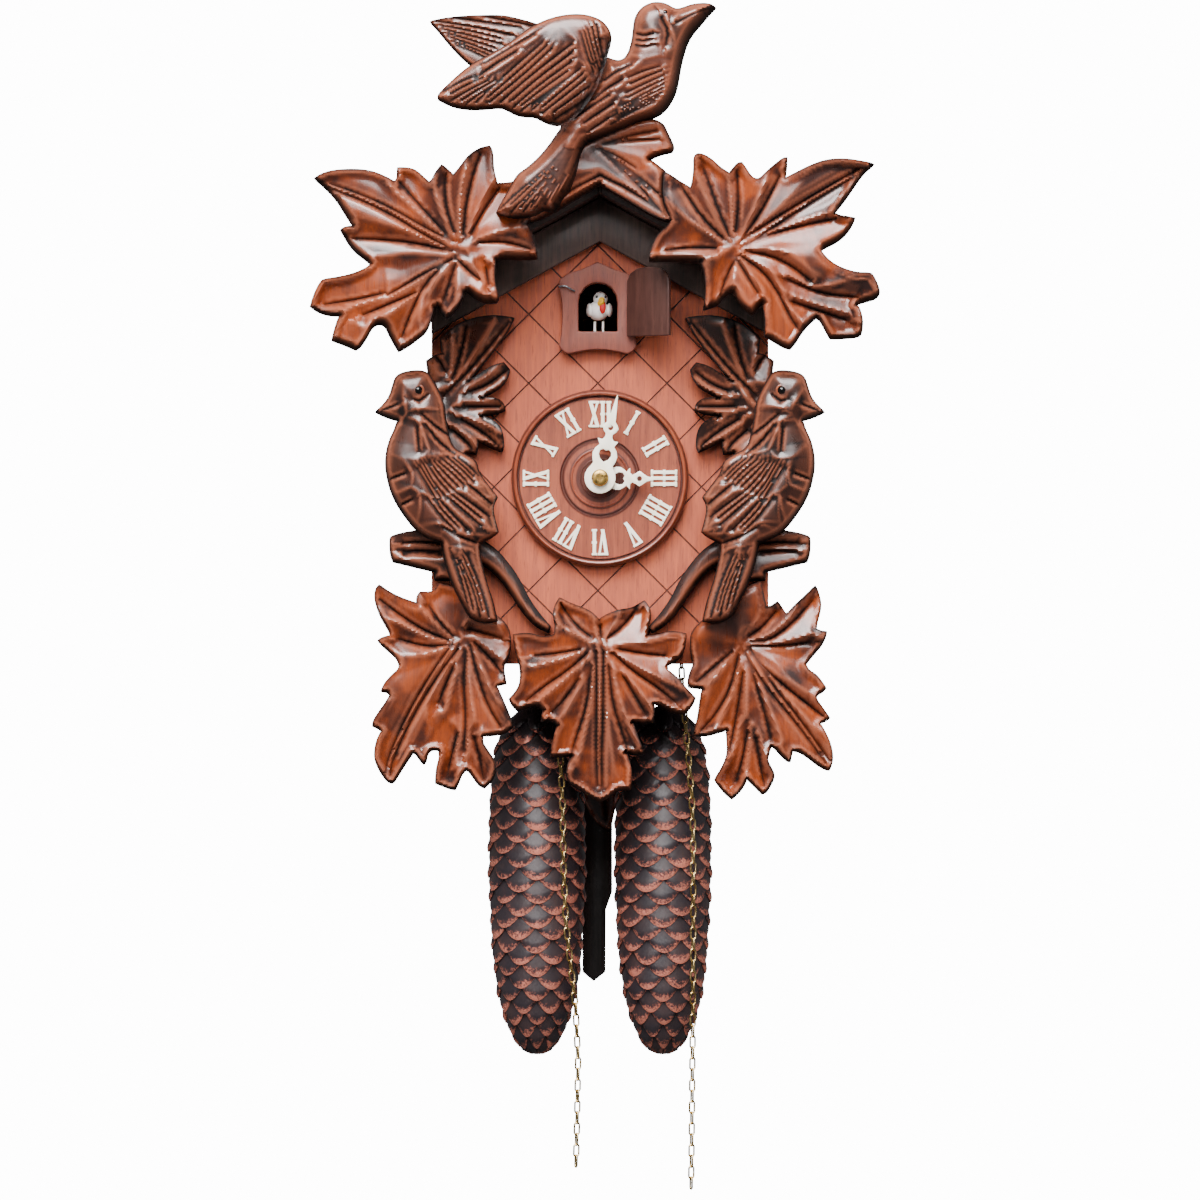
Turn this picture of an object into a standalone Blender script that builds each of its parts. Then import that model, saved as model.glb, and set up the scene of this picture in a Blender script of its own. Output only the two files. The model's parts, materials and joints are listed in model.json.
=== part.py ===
"""A carved wall clock with a cuckoo, two weights and a pendulum.

Every number is in millimetres and is measured from the dial's centre, with +X to the right as the
clock is seen, +Z up and the wall at y = 0, so the clock's front faces -Y. MM turns millimetres into
metres, and DIAL_Z puts the origin on the rear face of the top back rail, where the clock hangs.
"""

import math

import bmesh
import bpy
from mathutils import Matrix, Vector

MM = 0.001
DIAL_Z = -80.0                 # height of the dial's centre from the origin
GAP = 0.3                      # clearance that glued or resting pieces keep
AROUND = 2.0 * math.pi

# The case
CASE_HALF = 78.0               # half the width over the side walls
WALL = 8.0                     # side wall and floor thickness
CASE_FLOOR = -86.0             # underside of the case
WALL_FRONT = -100.0            # front edge of the side walls
PANEL_FRONT = -106.0           # face of the front panel
RIDGE = 130.0                  # underside of the roof at the ridge
ROOF_FALL = 0.55               # drop of the roof per unit of width
ROOF_THICK = 9.0
ROOF_FRONT = -135.0
EAVE = 88.0                    # half the width of the roof's underside
GABLE_APEX = 109.5             # lower edge of the dark gable board
GABLE_FRONT = -112.0
BACK_DOOR_TOP = 59.6
RAIL_DEPTH = 8.0

# The cuckoo's doorway
DOOR_X = -1.0                  # centre of the doorway
DOORWAY_HALF = 9.0
DOORWAY_FOOT = 67.8
DOORWAY_SPRING = 81.5          # where the arch begins
PLAQUE_FRONT = -112.0
HINGE_X = 12.9                 # hinge line of the cuckoo's door
HINGE_Y = -113.6
DOOR_OPEN = math.radians(140.0)
ARM_PIVOT = (-44.0, -90.0)     # x, y of the cuckoo's upright

# The carvings' slabs, front and back
LOW_CARVING = (-119.0, -106.3)
BIRD_SLAB = (-135.0, -119.3)
BOTTOM_SLAB = (-126.0, -106.3)
ROOF_CARVING = (-152.0, -135.3)
CROWN_BODY = (-166.0, -145.0)
CROWN_TAIL = (-166.0, -152.4)
WING_FRONT = (-178.0, -166.3)
WING_BACK = (-144.7, -137.0)

# The dial and hands
DIAL_RADIUS = 41.0
DIAL_BORE = 4.5
MINUTE_ANGLE = 12.0            # degrees clockwise from twelve
HOUR_ANGLE = 91.0

# The movement
PLATE_FRONT = (-81.5, -80.2)
PLATE_BACK = (-50.0, -48.7)
PLATE_BORE = 1.7
CENTRE = (0.0, 0.0)            # minute arbor
TIME_GREAT = (35.9, -8.0)
THIRD = (13.0, 18.5)
ESCAPE = (3.0, 30.5)
ANCHOR = (0.0, 45.0)
MOTION = (-8.8, -8.8)
STRIKE_GREAT = (-23.1, -16.0)
PIN_WHEEL = (-36.0, 5.0)
FLY = (-24.5, 16.2)
HAMMER = (-38.0, 32.0)
GONG = (24.0, -27.0)
PILLARS = ((8.0, -31.0), (-44.0, -30.0), (-46.0, 43.0), (45.0, 36.0))
CHAIN_Y = -66.0                # plane of the sprockets and weights
FREE_CHAIN_Y = -91.0
CHAIN_RADIUS = 1.6
WEIGHT_X = {"time": 29.5, "strike": -29.5}
TRAVEL = 130.0                 # how far a weight runs down
CHAIN_TOP = CASE_FLOOR + WALL + TRAVEL + 4.0
PENDULUM_Y = -36.0

FINISHES = {
    "panel_wood": ((0.42, 0.17, 0.09), 0.45, 0.0),
    "case_wood": ((0.16, 0.06, 0.035), 0.5, 0.0),
    "dark_wood": ((0.03, 0.02, 0.018), 0.5, 0.0),
    "carved_wood": ((0.28, 0.10, 0.05), 0.3, 0.0),
    "dial_wood": ((0.32, 0.13, 0.07), 0.4, 0.0),
    "ivory_plastic": ((0.86, 0.80, 0.66), 0.35, 0.0),
    "brass": ((0.80, 0.58, 0.25), 0.3, 1.0),
    "steel": ((0.55, 0.56, 0.58), 0.35, 1.0),
    "weight_iron": ((0.20, 0.10, 0.08), 0.4, 0.6),
    "bellows_wood": ((0.55, 0.45, 0.32), 0.8, 0.0),
    "bird_paint": ((0.85, 0.84, 0.80), 0.5, 0.0),
}


def finish(name):
    """One material for each finish."""
    if name in bpy.data.materials:
        return bpy.data.materials[name]
    colour, roughness, metallic = FINISHES[name]
    material = bpy.data.materials.new(name)
    material.use_nodes = True
    shader = material.node_tree.nodes["Principled BSDF"]
    shader.inputs["Base Color"].default_value = (*colour, 1.0)
    shader.inputs["Roughness"].default_value = roughness
    shader.inputs["Metallic"].default_value = metallic
    return material


def place(x, y, z):
    """A point of the clock in metres, in the frame that has its origin at the hanging rail."""
    return Vector((x, y, z + DIAL_Z)) * MM


def add_object(name, bm, material, smooth=False):
    """Turn a finished bmesh into a named object."""
    bmesh.ops.recalc_face_normals(bm, faces=bm.faces[:])
    mesh = bpy.data.meshes.new(name)
    bm.to_mesh(mesh)
    bm.free()
    mesh.materials.append(finish(material))
    if smooth:
        mesh.shade_smooth()
        mesh.set_sharp_from_angle(angle=math.radians(35.0))
    part = bpy.data.objects.new(name, mesh)
    bpy.context.scene.collection.objects.link(part)
    return part


def prism(name, loops, low, high, material, axis="Y"):
    """A flat piece with the outline loops[0] and the holes loops[1:], from low to high on an axis.

    Loops hold (x, z) points for a piece that is thick along Y, (x, y) for Z and (y, z) for X.
    """
    corner = {
        "Y": lambda a, b, depth: place(a, depth, b),
        "Z": lambda a, b, depth: place(a, b, depth),
        "X": lambda a, b, depth: place(depth, a, b),
    }[axis]
    bm = bmesh.new()
    for loop in loops:
        verts = [bm.verts.new(corner(a, b, low)) for a, b in loop]
        for first, second in zip(verts, verts[1:] + verts[:1]):
            bm.edges.new((first, second))
    bmesh.ops.triangle_fill(bm, use_beauty=True, use_dissolve=False, edges=bm.edges[:])
    grown = bmesh.ops.extrude_face_region(bm, geom=bm.faces[:])
    far = [item for item in grown["geom"] if isinstance(item, bmesh.types.BMVert)]
    bmesh.ops.translate(bm, verts=far, vec=corner(0, 0, high) - corner(0, 0, low))
    return add_object(name, bm, material)


def box(name, low, high, material):
    """A board between two corners."""
    outline = [(low[0], low[2]), (high[0], low[2]), (high[0], high[2]), (low[0], high[2])]
    return prism(name, [outline], low[1], high[1], material)


def turned(name, profile, centre, material, axis="Y", segments=24, closed=False):
    """A turned piece. profile holds (radius, place along the axis) pairs.

    An open profile starts and ends on the axis; a closed one goes round a bored piece's wall.
    """
    bm = bmesh.new()
    rings = []
    for radius, along in profile:
        ring = []
        count = 1 if radius == 0 else segments
        for step in range(count):
            angle = AROUND * step / segments
            a = centre[0] + radius * math.cos(angle)
            b = centre[1] + radius * math.sin(angle)
            ring.append(bm.verts.new(place(a, along, b) if axis == "Y" else place(a, b, along)))
        rings.append(ring)
    pairs = list(zip(rings, rings[1:] + rings[:1])) if closed else list(zip(rings, rings[1:]))
    for one, two in pairs:
        for step in range(segments):
            after = (step + 1) % segments
            corners = [one[step % len(one)], one[after % len(one)]]
            corners += [two[after % len(two)], two[step % len(two)]]
            bm.faces.new(list(dict.fromkeys(corners)))
    return add_object(name, bm, material, smooth=True)


def combine(target, others, operation="UNION"):
    """Join or cut the target with the other objects, and keep only the target."""
    for other in others:
        joiner = target.modifiers.new(operation.lower(), "BOOLEAN")
        joiner.operation = operation
        joiner.object = other
    graph = bpy.context.evaluated_depsgraph_get()
    mesh = bpy.data.meshes.new_from_object(target.evaluated_get(graph))
    target.modifiers.clear()
    target.data = mesh
    mesh.name = target.name
    for other in others:
        bpy.data.objects.remove(other)
    return target


def pivot_at(part, x, y, z):
    """Put a moving piece's origin on its joint's axis."""
    point = place(x, y, z)
    part.data.transform(Matrix.Translation(-point))
    part.location = point
    return part


def circle(centre, radius, count=12, start=0.0):
    """Points round a circle."""
    return [
        (centre[0] + radius * math.cos(start + AROUND * step / count),
         centre[1] + radius * math.sin(start + AROUND * step / count))
        for step in range(count)
    ]


def mirrored(points):
    """The outline on the clock's other side."""
    return [(-x, z) for x, z in points]


def toothed(centre, radius, teeth, depth):
    """A wheel's outline: each tooth is a short trapezium."""
    points = []
    for tooth in range(teeth):
        for share, height in ((0.0, -depth), (0.3, -depth), (0.45, 0.0), (0.8, 0.0)):
            angle = AROUND * (tooth + share) / teeth
            reach = radius + height
            points.append((centre[0] + reach * math.cos(angle), centre[1] + reach * math.sin(angle)))
    return points


# ---------------------------------------------------------------------------------------- the case

def roof_under(x):
    """Height of the roof's underside."""
    return RIDGE - ROOF_FALL * abs(x)


def gabled(half, foot):
    """A board's outline with a top that fits under the roof."""
    edge = roof_under(half) - GAP
    return [(-half, foot), (half, foot), (half, edge), (0.0, RIDGE - GAP), (-half, edge)]


def doorway(half, foot, spring):
    """The arched hole that the cuckoo comes out of."""
    points = [(DOOR_X - half, foot), (DOOR_X + half, foot)]
    for step in range(9):
        angle = math.pi * step / 8
        points.append((DOOR_X + half * math.cos(angle), spring + half * math.sin(angle)))
    return points


def make_case():
    inner = CASE_HALF - WALL
    arch = doorway(DOORWAY_HALF, DOORWAY_FOOT, DOORWAY_SPRING)
    prism("front_panel", [gabled(CASE_HALF, CASE_FLOOR), arch, circle(CENTRE, DIAL_BORE)],
          PANEL_FRONT, WALL_FRONT - GAP, "panel_wood")
    wall = [(inner, CASE_FLOOR), (CASE_HALF, CASE_FLOOR)]
    wall += [(CASE_HALF, roof_under(CASE_HALF) - GAP), (inner, roof_under(inner) - GAP)]
    prism("side_right", [wall], WALL_FRONT, 0.0, "case_wood")
    prism("side_left", [mirrored(wall)], WALL_FRONT, 0.0, "case_wood")

    edge = inner - GAP
    floor = [(-edge, WALL_FRONT + GAP), (edge, WALL_FRONT + GAP), (edge, -6.0), (-edge, -6.0)]
    slots = [
        rectangle(WEIGHT_X["time"] - 5.0, CHAIN_Y - 5.0, WEIGHT_X["time"] + 5.0, CHAIN_Y + 5.0),
        rectangle(WEIGHT_X["strike"] - 5.0, CHAIN_Y - 5.0, WEIGHT_X["strike"] + 5.0, CHAIN_Y + 5.0),
        rectangle(33.0, FREE_CHAIN_Y - 4.5, 49.0, FREE_CHAIN_Y + 4.5),
        rectangle(-24.0, FREE_CHAIN_Y - 4.5, -4.0, FREE_CHAIN_Y + 4.5),
        rectangle(-19.0, PENDULUM_Y - 4.5, 19.0, PENDULUM_Y + 4.5),
    ]
    prism("bottom_board", [floor] + slots, CASE_FLOOR, CASE_FLOOR + WALL, "case_wood", axis="Z")

    rail = [(-edge, BACK_DOOR_TOP + 0.4), (edge, BACK_DOOR_TOP + 0.4)]
    rail += [(edge, roof_under(edge) - GAP), (0.0, RIDGE - GAP), (-edge, roof_under(edge) - GAP)]
    prism("back_rail", [rail, circle((0.0, 97.0), 8.0, 16)], -RAIL_DEPTH, 0.0, "case_wood")
    plate = rectangle(-11.0, 84.0, 11.0, 108.0)
    prism("hook_plate", [plate, keyhole_outline()], -RAIL_DEPTH - 1.3, -RAIL_DEPTH - GAP, "steel")

    door = box("back_door", (-edge, -5.5, CASE_FLOOR + GAP), (edge, -GAP, BACK_DOOR_TOP), "case_wood")
    pivot_at(door, -edge, 0.0, 0.0)


def rectangle(left, low, right, high):
    return [(left, low), (right, low), (right, high), (left, high)]


def keyhole_outline():
    """A round hole for the nail's head with a narrow slot above it."""
    points = [(1.6, 97.6), (1.6, 103.0), (-1.6, 103.0), (-1.6, 97.6)]
    for step in range(9):
        angle = math.radians(118.0 + 304.0 * step / 8)
        points.append((4.2 * math.cos(angle), 94.0 + 4.2 * math.sin(angle)))
    return points


def make_roof():
    fall = math.atan(ROOF_FALL)
    thick_z = ROOF_THICK / math.cos(fall)
    right = [
        (0.2, RIDGE), (EAVE, roof_under(EAVE)),
        (EAVE + ROOF_THICK * math.sin(fall), roof_under(EAVE) + ROOF_THICK * math.cos(fall)),
        (0.2, RIDGE + thick_z),
    ]
    prism("roof_right", [right], ROOF_FRONT, -0.5, "dark_wood")
    prism("roof_left", [mirrored(right)], ROOF_FRONT, -0.5, "dark_wood")
    edge = roof_under(CASE_HALF) - GAP
    low = GABLE_APEX - ROOF_FALL * CASE_HALF
    chevron = [
        (0.0, RIDGE - GAP), (CASE_HALF, edge), (CASE_HALF, low),
        (0.0, GABLE_APEX), (-CASE_HALF, low), (-CASE_HALF, edge),
    ]
    prism("gable_board", [chevron], GABLE_FRONT, PANEL_FRONT - GAP, "dark_wood")


# --------------------------------------------------------------------------- the cuckoo's doorway

PLAQUE_HALF = [
    (0.0, 100.0), (3.5, 98.4), (8.0, 96.4), (13.5, 94.8), (17.6, 92.0), (18.2, 89.5), (17.3, 85.0),
    (16.6, 80.0), (16.5, 74.0), (17.0, 67.0), (18.0, 61.3), (16.4, 58.8), (13.8, 57.3), (9.0, 58.4),
    (4.5, 59.2), (0.0, 59.4),
]

DOOR_LEAF = [
    (0.0, 65.3), (-25.0, 65.3), (-25.0, 91.0), (-23.0, 94.6), (-19.0, 96.6), (-12.5, 97.2),
    (-6.0, 96.6), (-2.0, 94.6), (0.0, 91.0),
]


def make_cuckoo():
    right = [(DOOR_X + x, z) for x, z in PLAQUE_HALF]
    left = [(DOOR_X - x, z) for x, z in PLAQUE_HALF[-2:0:-1]]
    arch = doorway(DOORWAY_HALF, DOORWAY_FOOT, DOORWAY_SPRING)
    prism("door_plaque", [right + left, arch], PLAQUE_FRONT, PANEL_FRONT - GAP, "panel_wood")

    leaf = [(HINGE_X + x, z) for x, z in DOOR_LEAF]
    door = prism("cuckoo_door", [leaf], HINGE_Y - 1.0, HINGE_Y + 1.0, "case_wood")
    pivot_at(door, HINGE_X, HINGE_Y, DOORWAY_FOOT)
    door.rotation_euler = (0.0, 0.0, DOOR_OPEN)

    px, py = ARM_PIVOT
    arm = [(px - 3.0, py - 3.0), (px + 3.0, py - 3.0), (2.0, -99.6), (2.0, -94.0), (-4.0, -94.0),
           (px + 3.0, py + 3.0), (px - 3.0, py + 3.0)]
    lever = prism("cuckoo_arm", [arm], 64.3, 67.4, "case_wood", axis="Z")
    post = turned("post", [(0, 51.0), (1.4, 51.0), (1.4, 66.0), (0, 66.0)], ARM_PIVOT, "steel",
                  axis="Z", segments=10)
    pivot_at(combine(lever, [post]), px, py, 60.0)

    bird = [
        (-4.5, 67.9), (1.5, 67.9), (1.5, 76.0), (5.2, 77.5), (5.4, 81.0), (4.2, 84.5), (1.8, 86.8),
        (-1.6, 86.2), (-3.6, 83.5), (-6.2, 80.5), (-6.2, 78.0), (-4.5, 76.5),
    ]
    pivot_at(prism("cuckoo", [bird], -104.0, -94.5, "bird_paint"), px, py, 60.0)


# ------------------------------------------------------------------------------------ the carvings

UPPER_LEFT = [
    (-130.5, 136.5), (-124, 139.7), (-112, 140.5), (-103, 139.3), (-99, 137.3), (-94, 134.8),
    (-92.7, 136), (-92.5, 141.2), (-87, 141), (-83.5, 139.5), (-80, 136), (-78, 134.5),
    (-76.6, 135.5), (-75, 139), (-72.3, 142.3), (-70.5, 141), (-67, 137.8), (-64, 141), (-60, 146.5),
    (-55, 150), (-50.5, 151), (-49.2, 149), (-49, 141), (-47, 133.8), (-40, 134.2), (-29.6, 139),
    (-28.8, 131), (-29.6, 124), (-32.5, 117), (-34, 115.5), (-31, 111), (-29.5, 106), (-29, 100),
    (-35, 99.8), (-48, 100), (-48.7, 92), (-48, 87), (-46.5, 82), (-47.5, 80), (-52, 79.6),
    (-56, 81), (-61, 85), (-62.5, 85), (-64, 80), (-67.5, 75), (-70.5, 72.8), (-72.5, 75),
    (-74, 78.5), (-76, 78), (-79, 67), (-84, 63), (-88, 60), (-92.3, 57.6), (-95.5, 63),
    (-98, 68.5), (-100, 70), (-102.5, 70), (-105, 68), (-107, 64), (-110, 59.5), (-112, 58.3),
    (-117, 60.5), (-122.5, 62.5), (-121, 68), (-119, 74), (-124, 74), (-129, 75.5), (-132.5, 78),
    (-130.5, 84), (-127.5, 89.5), (-125.5, 90.3), (-120, 91), (-113, 92.5), (-106, 95.5),
    (-105, 97.5), (-108, 100), (-112, 103), (-115, 106.5), (-118.5, 112.7), (-117, 113.8),
    (-113, 114.8), (-115.5, 118.5), (-121, 127.5), (-127, 133.5),
]

UPPER_RIGHT = [
    (29.6, 139), (36, 135), (41.5, 131.7), (42.8, 137), (43.2, 143), (43, 146), (44.5, 147.5),
    (47, 147.3), (51, 145), (55, 141), (59, 138.5), (61, 141), (63, 143.3), (64.8, 143.5),
    (66.5, 141), (69, 137), (71, 135.8), (73, 136), (76, 139), (80, 142.5), (83.5, 145.2),
    (85.3, 145.7), (85.2, 141), (84.5, 136.2), (90, 139), (97, 142.5), (104, 144.8), (112, 145.2),
    (119, 144.2), (125.3, 143), (121, 139.5), (117, 134), (113, 128), (109.5, 123.5), (107, 120.5),
    (110, 119), (116.5, 118.3), (115, 114.5), (112, 110.5), (108, 107.5), (104, 105.5),
    (101.5, 104.2), (101, 102.8), (103, 100), (107, 96.8), (112, 94.5), (117.5, 93), (123, 93),
    (124.5, 92.2), (127, 87), (127.8, 84), (126.5, 81.8), (122, 80.5), (117, 79), (118.5, 77),
    (120, 72), (119.8, 66), (118.5, 64.2), (110, 63.5), (105.5, 63.5), (103, 68), (101, 71.8),
    (99, 73), (95, 69.5), (91.5, 65), (89.5, 61.5), (87, 58.7), (84, 59.5), (80, 62), (75.5, 64.6),
    (76, 72), (74.5, 79.5), (72.5, 78), (70, 74.5), (67, 76.5), (64, 80), (61.5, 84), (60.3, 84.6),
    (58, 83.5), (55.5, 81.5), (54.5, 79.3), (51, 77.8), (47.5, 76.7), (48.3, 80), (48.8, 86),
    (48.3, 92), (47, 96), (45.8, 98.3), (40, 98.8), (30, 99), (22.8, 98.8), (23.2, 102),
    (24.5, 106.5), (27, 111), (31, 114.2), (32.7, 117), (29.8, 124), (28.9, 131),
]

CROWN_BRANCH = [
    (0, 135), (12.5, 127.8), (25, 120), (31.9, 117.6), (29.1, 124), (28.2, 131), (28.9, 139.4),
    (24, 142.8), (21.5, 145), (22.5, 146.5), (28, 148.8), (32.5, 149.7), (33, 151), (30, 157),
    (28.5, 160.5), (24.5, 162.2), (18, 160.8), (10, 157.4), (0, 153.3), (-8, 149.5), (-14, 146),
    (-21, 143.5), (-28.9, 139.4), (-28.1, 131), (-28.9, 124), (-31.8, 117.6), (-25, 120),
    (-12.5, 127.8),
]

CROWN_BODY_OUTLINE = [
    (52.8, 214.2), (49.5, 210.7), (46, 206.5), (42, 202), (39.5, 197), (38, 192), (36.8, 187),
    (36, 182), (34.8, 176), (32.5, 171), (29.5, 167), (25.5, 164.2), (18, 162), (10, 158.6),
    (0, 154.5), (-6, 152), (-12, 153), (-18, 158.5), (-15, 164), (-8, 172), (-1, 182), (2.8, 191),
    (5.5, 190), (8.5, 189.2), (11.5, 190.5), (13.5, 194), (14.8, 199), (15.3, 204), (16, 209),
    (18.5, 213), (22, 215.3), (25.5, 216), (30, 215.5), (33, 213.8), (35, 212.8), (38, 213.5),
    (42, 215), (47, 215.6), (50.5, 215.2),
]

CROWN_TAIL_OUTLINE = [
    (-2, 157), (-6, 152), (-8.5, 146), (-10, 138), (-13, 131), (-16.5, 126.5), (-19, 123),
    (-21.5, 121), (-25, 121.5), (-29.5, 118.6), (-36, 118.2), (-41, 118.2), (-47, 120.5),
    (-44, 126), (-40.5, 132), (-37.7, 137.5), (-33, 140.5), (-27, 146), (-23, 151), (-19, 156.8),
    (-15, 162),
]

WING_FRONT_OUTLINE = [
    (5.2, 200), (4.4, 195), (2.5, 189), (0.5, 182), (-3, 174), (-8, 166.5), (-14, 161),
    (-18, 159), (-22, 159.3), (-26, 161), (-29.5, 163), (-34, 163), (-38, 163.8), (-42, 166),
    (-45, 167.2), (-51, 166.6), (-58, 166.2), (-65, 167), (-70, 169), (-73.2, 170.8),
    (-73.4, 172.6), (-69, 177), (-63, 182.5), (-57, 187), (-50, 190.5), (-42, 195), (-35, 200.5),
    (-29, 204.5), (-22, 207.3), (-15, 208.8), (-8, 209), (-2, 207.5), (2, 205),
]

WING_BACK_OUTLINE = [
    (-77.5, 208.2), (-70, 209.8), (-60, 210.7), (-45, 211), (-38, 209.5), (-30, 207.3),
    (-22, 204.5), (-8, 199), (2, 190), (-2, 182), (-14, 180), (-30, 182), (-46, 185.5), (-57, 187),
    (-62, 191), (-66, 195), (-70, 199.5), (-74, 204.5),
]

SPRAY_LEFT = [
    (-80, 54), (-76, 56.5), (-72.8, 57.5), (-73.5, 64), (-67, 70), (-60, 73.3), (-50, 75),
    (-40, 73.8), (-44, 66), (-50, 58), (-57, 49.5), (-61.5, 44), (-56, 47.5), (-50, 51.5),
    (-44.5, 53), (-42, 50), (-43.5, 45), (-48, 40.5), (-55.5, 37), (-48, 36.8), (-44.5, 34.3),
    (-44, 31.5), (-48, 29.8), (-56, 29), (-50, 27), (-45.5, 23), (-44.5, 15), (-45.5, 12.3),
    (-50, 14), (-56.5, 17.3), (-57.3, 11.2), (-62, 12), (-64, 8), (-60, -10), (-56, -28),
    (-48, -33), (-42, -40), (-37, -47.5), (-33, -56), (-28, -63), (-23.2, -68.5), (-24, -71.2),
    (-30, -68.3), (-36, -61.5), (-41, -53.5), (-46, -46.5), (-52, -41), (-58, -38.5), (-66, -40),
    (-69, -47), (-76.2, -47), (-76.2, -43.3), (-84, -41.5), (-90, -40), (-95.5, -38.7),
    (-96.8, -35), (-97, -28.2), (-96, -26.8), (-90, -25.2), (-85, -24.5), (-78, -22), (-74, -10),
    (-76, 5), (-78, 18), (-79, 28), (-79, 46),
]

BIRD_LEFT = [
    (-79, 48), (-83, 49.3), (-90, 48.5), (-94, 46.5), (-95.5, 42), (-97, 37), (-100, 33),
    (-103.3, 30.2), (-99, 28), (-93.3, 26.3), (-94.5, 22), (-97, 17), (-98.5, 11), (-98.8, 5),
    (-98, 0), (-96.5, -6), (-94, -11.5), (-90.5, -17), (-85, -24), (-80, -27.5), (-73, -30),
    (-71.5, -38), (-68.5, -48), (-64, -57), (-60, -64.5), (-54, -67), (-47.5, -66), (-49.5, -57),
    (-53.5, -45), (-56, -33), (-55.5, -30), (-50, -27.5), (-47, -25), (-49, -18), (-49.5, -13),
    (-47.5, -9), (-52, -3), (-56, 2), (-57, 7.5), (-62, 10.5), (-68, 13.5), (-70, 20),
    (-71.5, 28), (-72, 34), (-74.5, 40), (-77, 44.5),
]

LOWER_LEFT = [
    (-102, -49.5), (-98, -52.5), (-92, -55.5), (-84.5, -58), (-84.5, -55), (-83, -52.8),
    (-77, -52.8), (-74, -49), (-62, -52), (-50, -62), (-45, -66), (-42, -70), (-41.3, -78),
    (-43, -84), (-45, -87.5), (-43.5, -95), (-48, -96), (-47, -98), (-44, -105), (-41, -112),
    (-40.5, -115), (-44, -118), (-50, -119), (-54.2, -119), (-54.5, -122), (-53.5, -124),
    (-50, -129), (-48.5, -132), (-49, -138), (-51, -141), (-53.5, -143.3), (-56, -142),
    (-58.5, -138.5), (-60.5, -135.5), (-62, -135), (-64, -137), (-65.5, -141), (-67, -144),
    (-70, -143.5), (-76, -141), (-75.5, -134), (-74, -129), (-74.5, -126), (-76.5, -125.5),
    (-78.5, -126), (-80, -128), (-80.5, -131), (-81.5, -132.3), (-83, -130.5), (-85, -127.5),
    (-86.5, -127), (-90, -132), (-94, -138.5), (-95.5, -140.8), (-97, -141), (-99, -139.5),
    (-102, -135), (-104, -130), (-104, -126), (-103, -121), (-101, -117), (-102, -116),
    (-105, -114.5), (-104.5, -112), (-102, -108), (-99, -104), (-97, -100.5), (-98, -99),
    (-101, -98.5), (-99.5, -95), (-96, -91), (-93, -88.5), (-92.5, -86.5), (-94, -83),
    (-97, -80.5), (-100, -78), (-102.5, -75), (-100.5, -73.7), (-97, -72.8), (-97, -71.5),
    (-99, -68), (-101.5, -63.5), (-103.5, -58), (-104, -54), (-103.3, -51),
]

LOWER_RIGHT = [
    (99.5, -50), (100.8, -53), (102, -58), (101.5, -62), (100, -67), (99.7, -69.7), (102, -70.8),
    (104.5, -71), (104, -73.5), (102.5, -77), (100, -80), (97, -83.5), (95, -86), (96, -88.5),
    (100, -91), (103, -95), (104.3, -97), (103, -98.7), (100, -100.3), (99.7, -102),
    (101.5, -104.5), (104, -108), (106, -110.8), (104, -112.5), (101.5, -113.2), (104, -117.5),
    (106.5, -123), (107.5, -129), (106.8, -133), (105.8, -135), (104.5, -134.8), (101, -133),
    (96, -129), (92, -126.5), (89, -126), (88.3, -128), (87.8, -131), (86.5, -130.8),
    (83.5, -128), (81, -125), (79.3, -124), (78.3, -125.5), (77.8, -128), (77, -130), (79, -134),
    (80.3, -136.5), (80.2, -139), (78, -143.5), (76.5, -145.5), (75, -146), (72, -143), (69, -140),
    (67.8, -139), (66.5, -142), (64.5, -145), (61, -148.3), (58, -146), (54, -141),
    (53.2, -139.5), (54, -138), (56.5, -134), (58.3, -130), (59, -127), (59, -123),
    (58.5, -116.5), (54, -117.8), (49, -119.2), (43.5, -118.8), (44, -116), (45.5, -110),
    (46.5, -102), (47.5, -97.3), (44, -97), (41, -96.5), (40.8, -93), (42.5, -88), (43.5, -86),
    (42, -80), (42, -72), (46, -67), (52, -62), (64, -52), (74, -48), (76.5, -59.5), (79, -59.5),
    (82, -57.3), (83.3, -59), (85.5, -62.5), (87, -62.5), (90, -59), (95, -54.5),
]

BOTTOM_LEAF = [
    (-18.5, -55.5), (-14, -58), (-8, -60), (-4, -62), (-0.5, -65.5), (3.5, -63), (9, -61),
    (15, -60.3), (20.5, -56.8), (22.8, -60), (23.2, -64), (22, -69.5), (21, -73.2), (25, -73),
    (33, -70.8), (39.5, -72), (39, -78), (37, -83.5), (31, -86.5), (31, -88.6), (36, -92.5),
    (39, -96.5), (43.8, -101.5), (42.5, -105), (39, -109), (34, -108.5), (29, -106),
    (24.8, -104), (24.6, -112.8), (19, -113.8), (14.5, -112), (17, -119), (20.3, -127.3),
    (15, -128), (11.5, -126), (14.5, -134), (14, -143.8), (8, -144), (4, -147.5), (0, -149.5),
    (-5, -147), (-9, -144), (-14.5, -141), (-15.5, -135), (-13, -128), (-18, -128.8),
    (-22.8, -128.5), (-21.5, -121), (-19.5, -114), (-22, -112.5), (-27, -112), (-26, -107),
    (-29, -105), (-34, -106), (-38, -107.5), (-40.5, -105), (-41.8, -102), (-39, -99),
    (-36.7, -95), (-36.4, -88), (-39.3, -78), (-39.8, -72.4), (-33, -71.6), (-25.5, -74),
    (-21, -72.5), (-20.3, -68), (-21.5, -63), (-20.5, -58.5),
]

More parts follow.
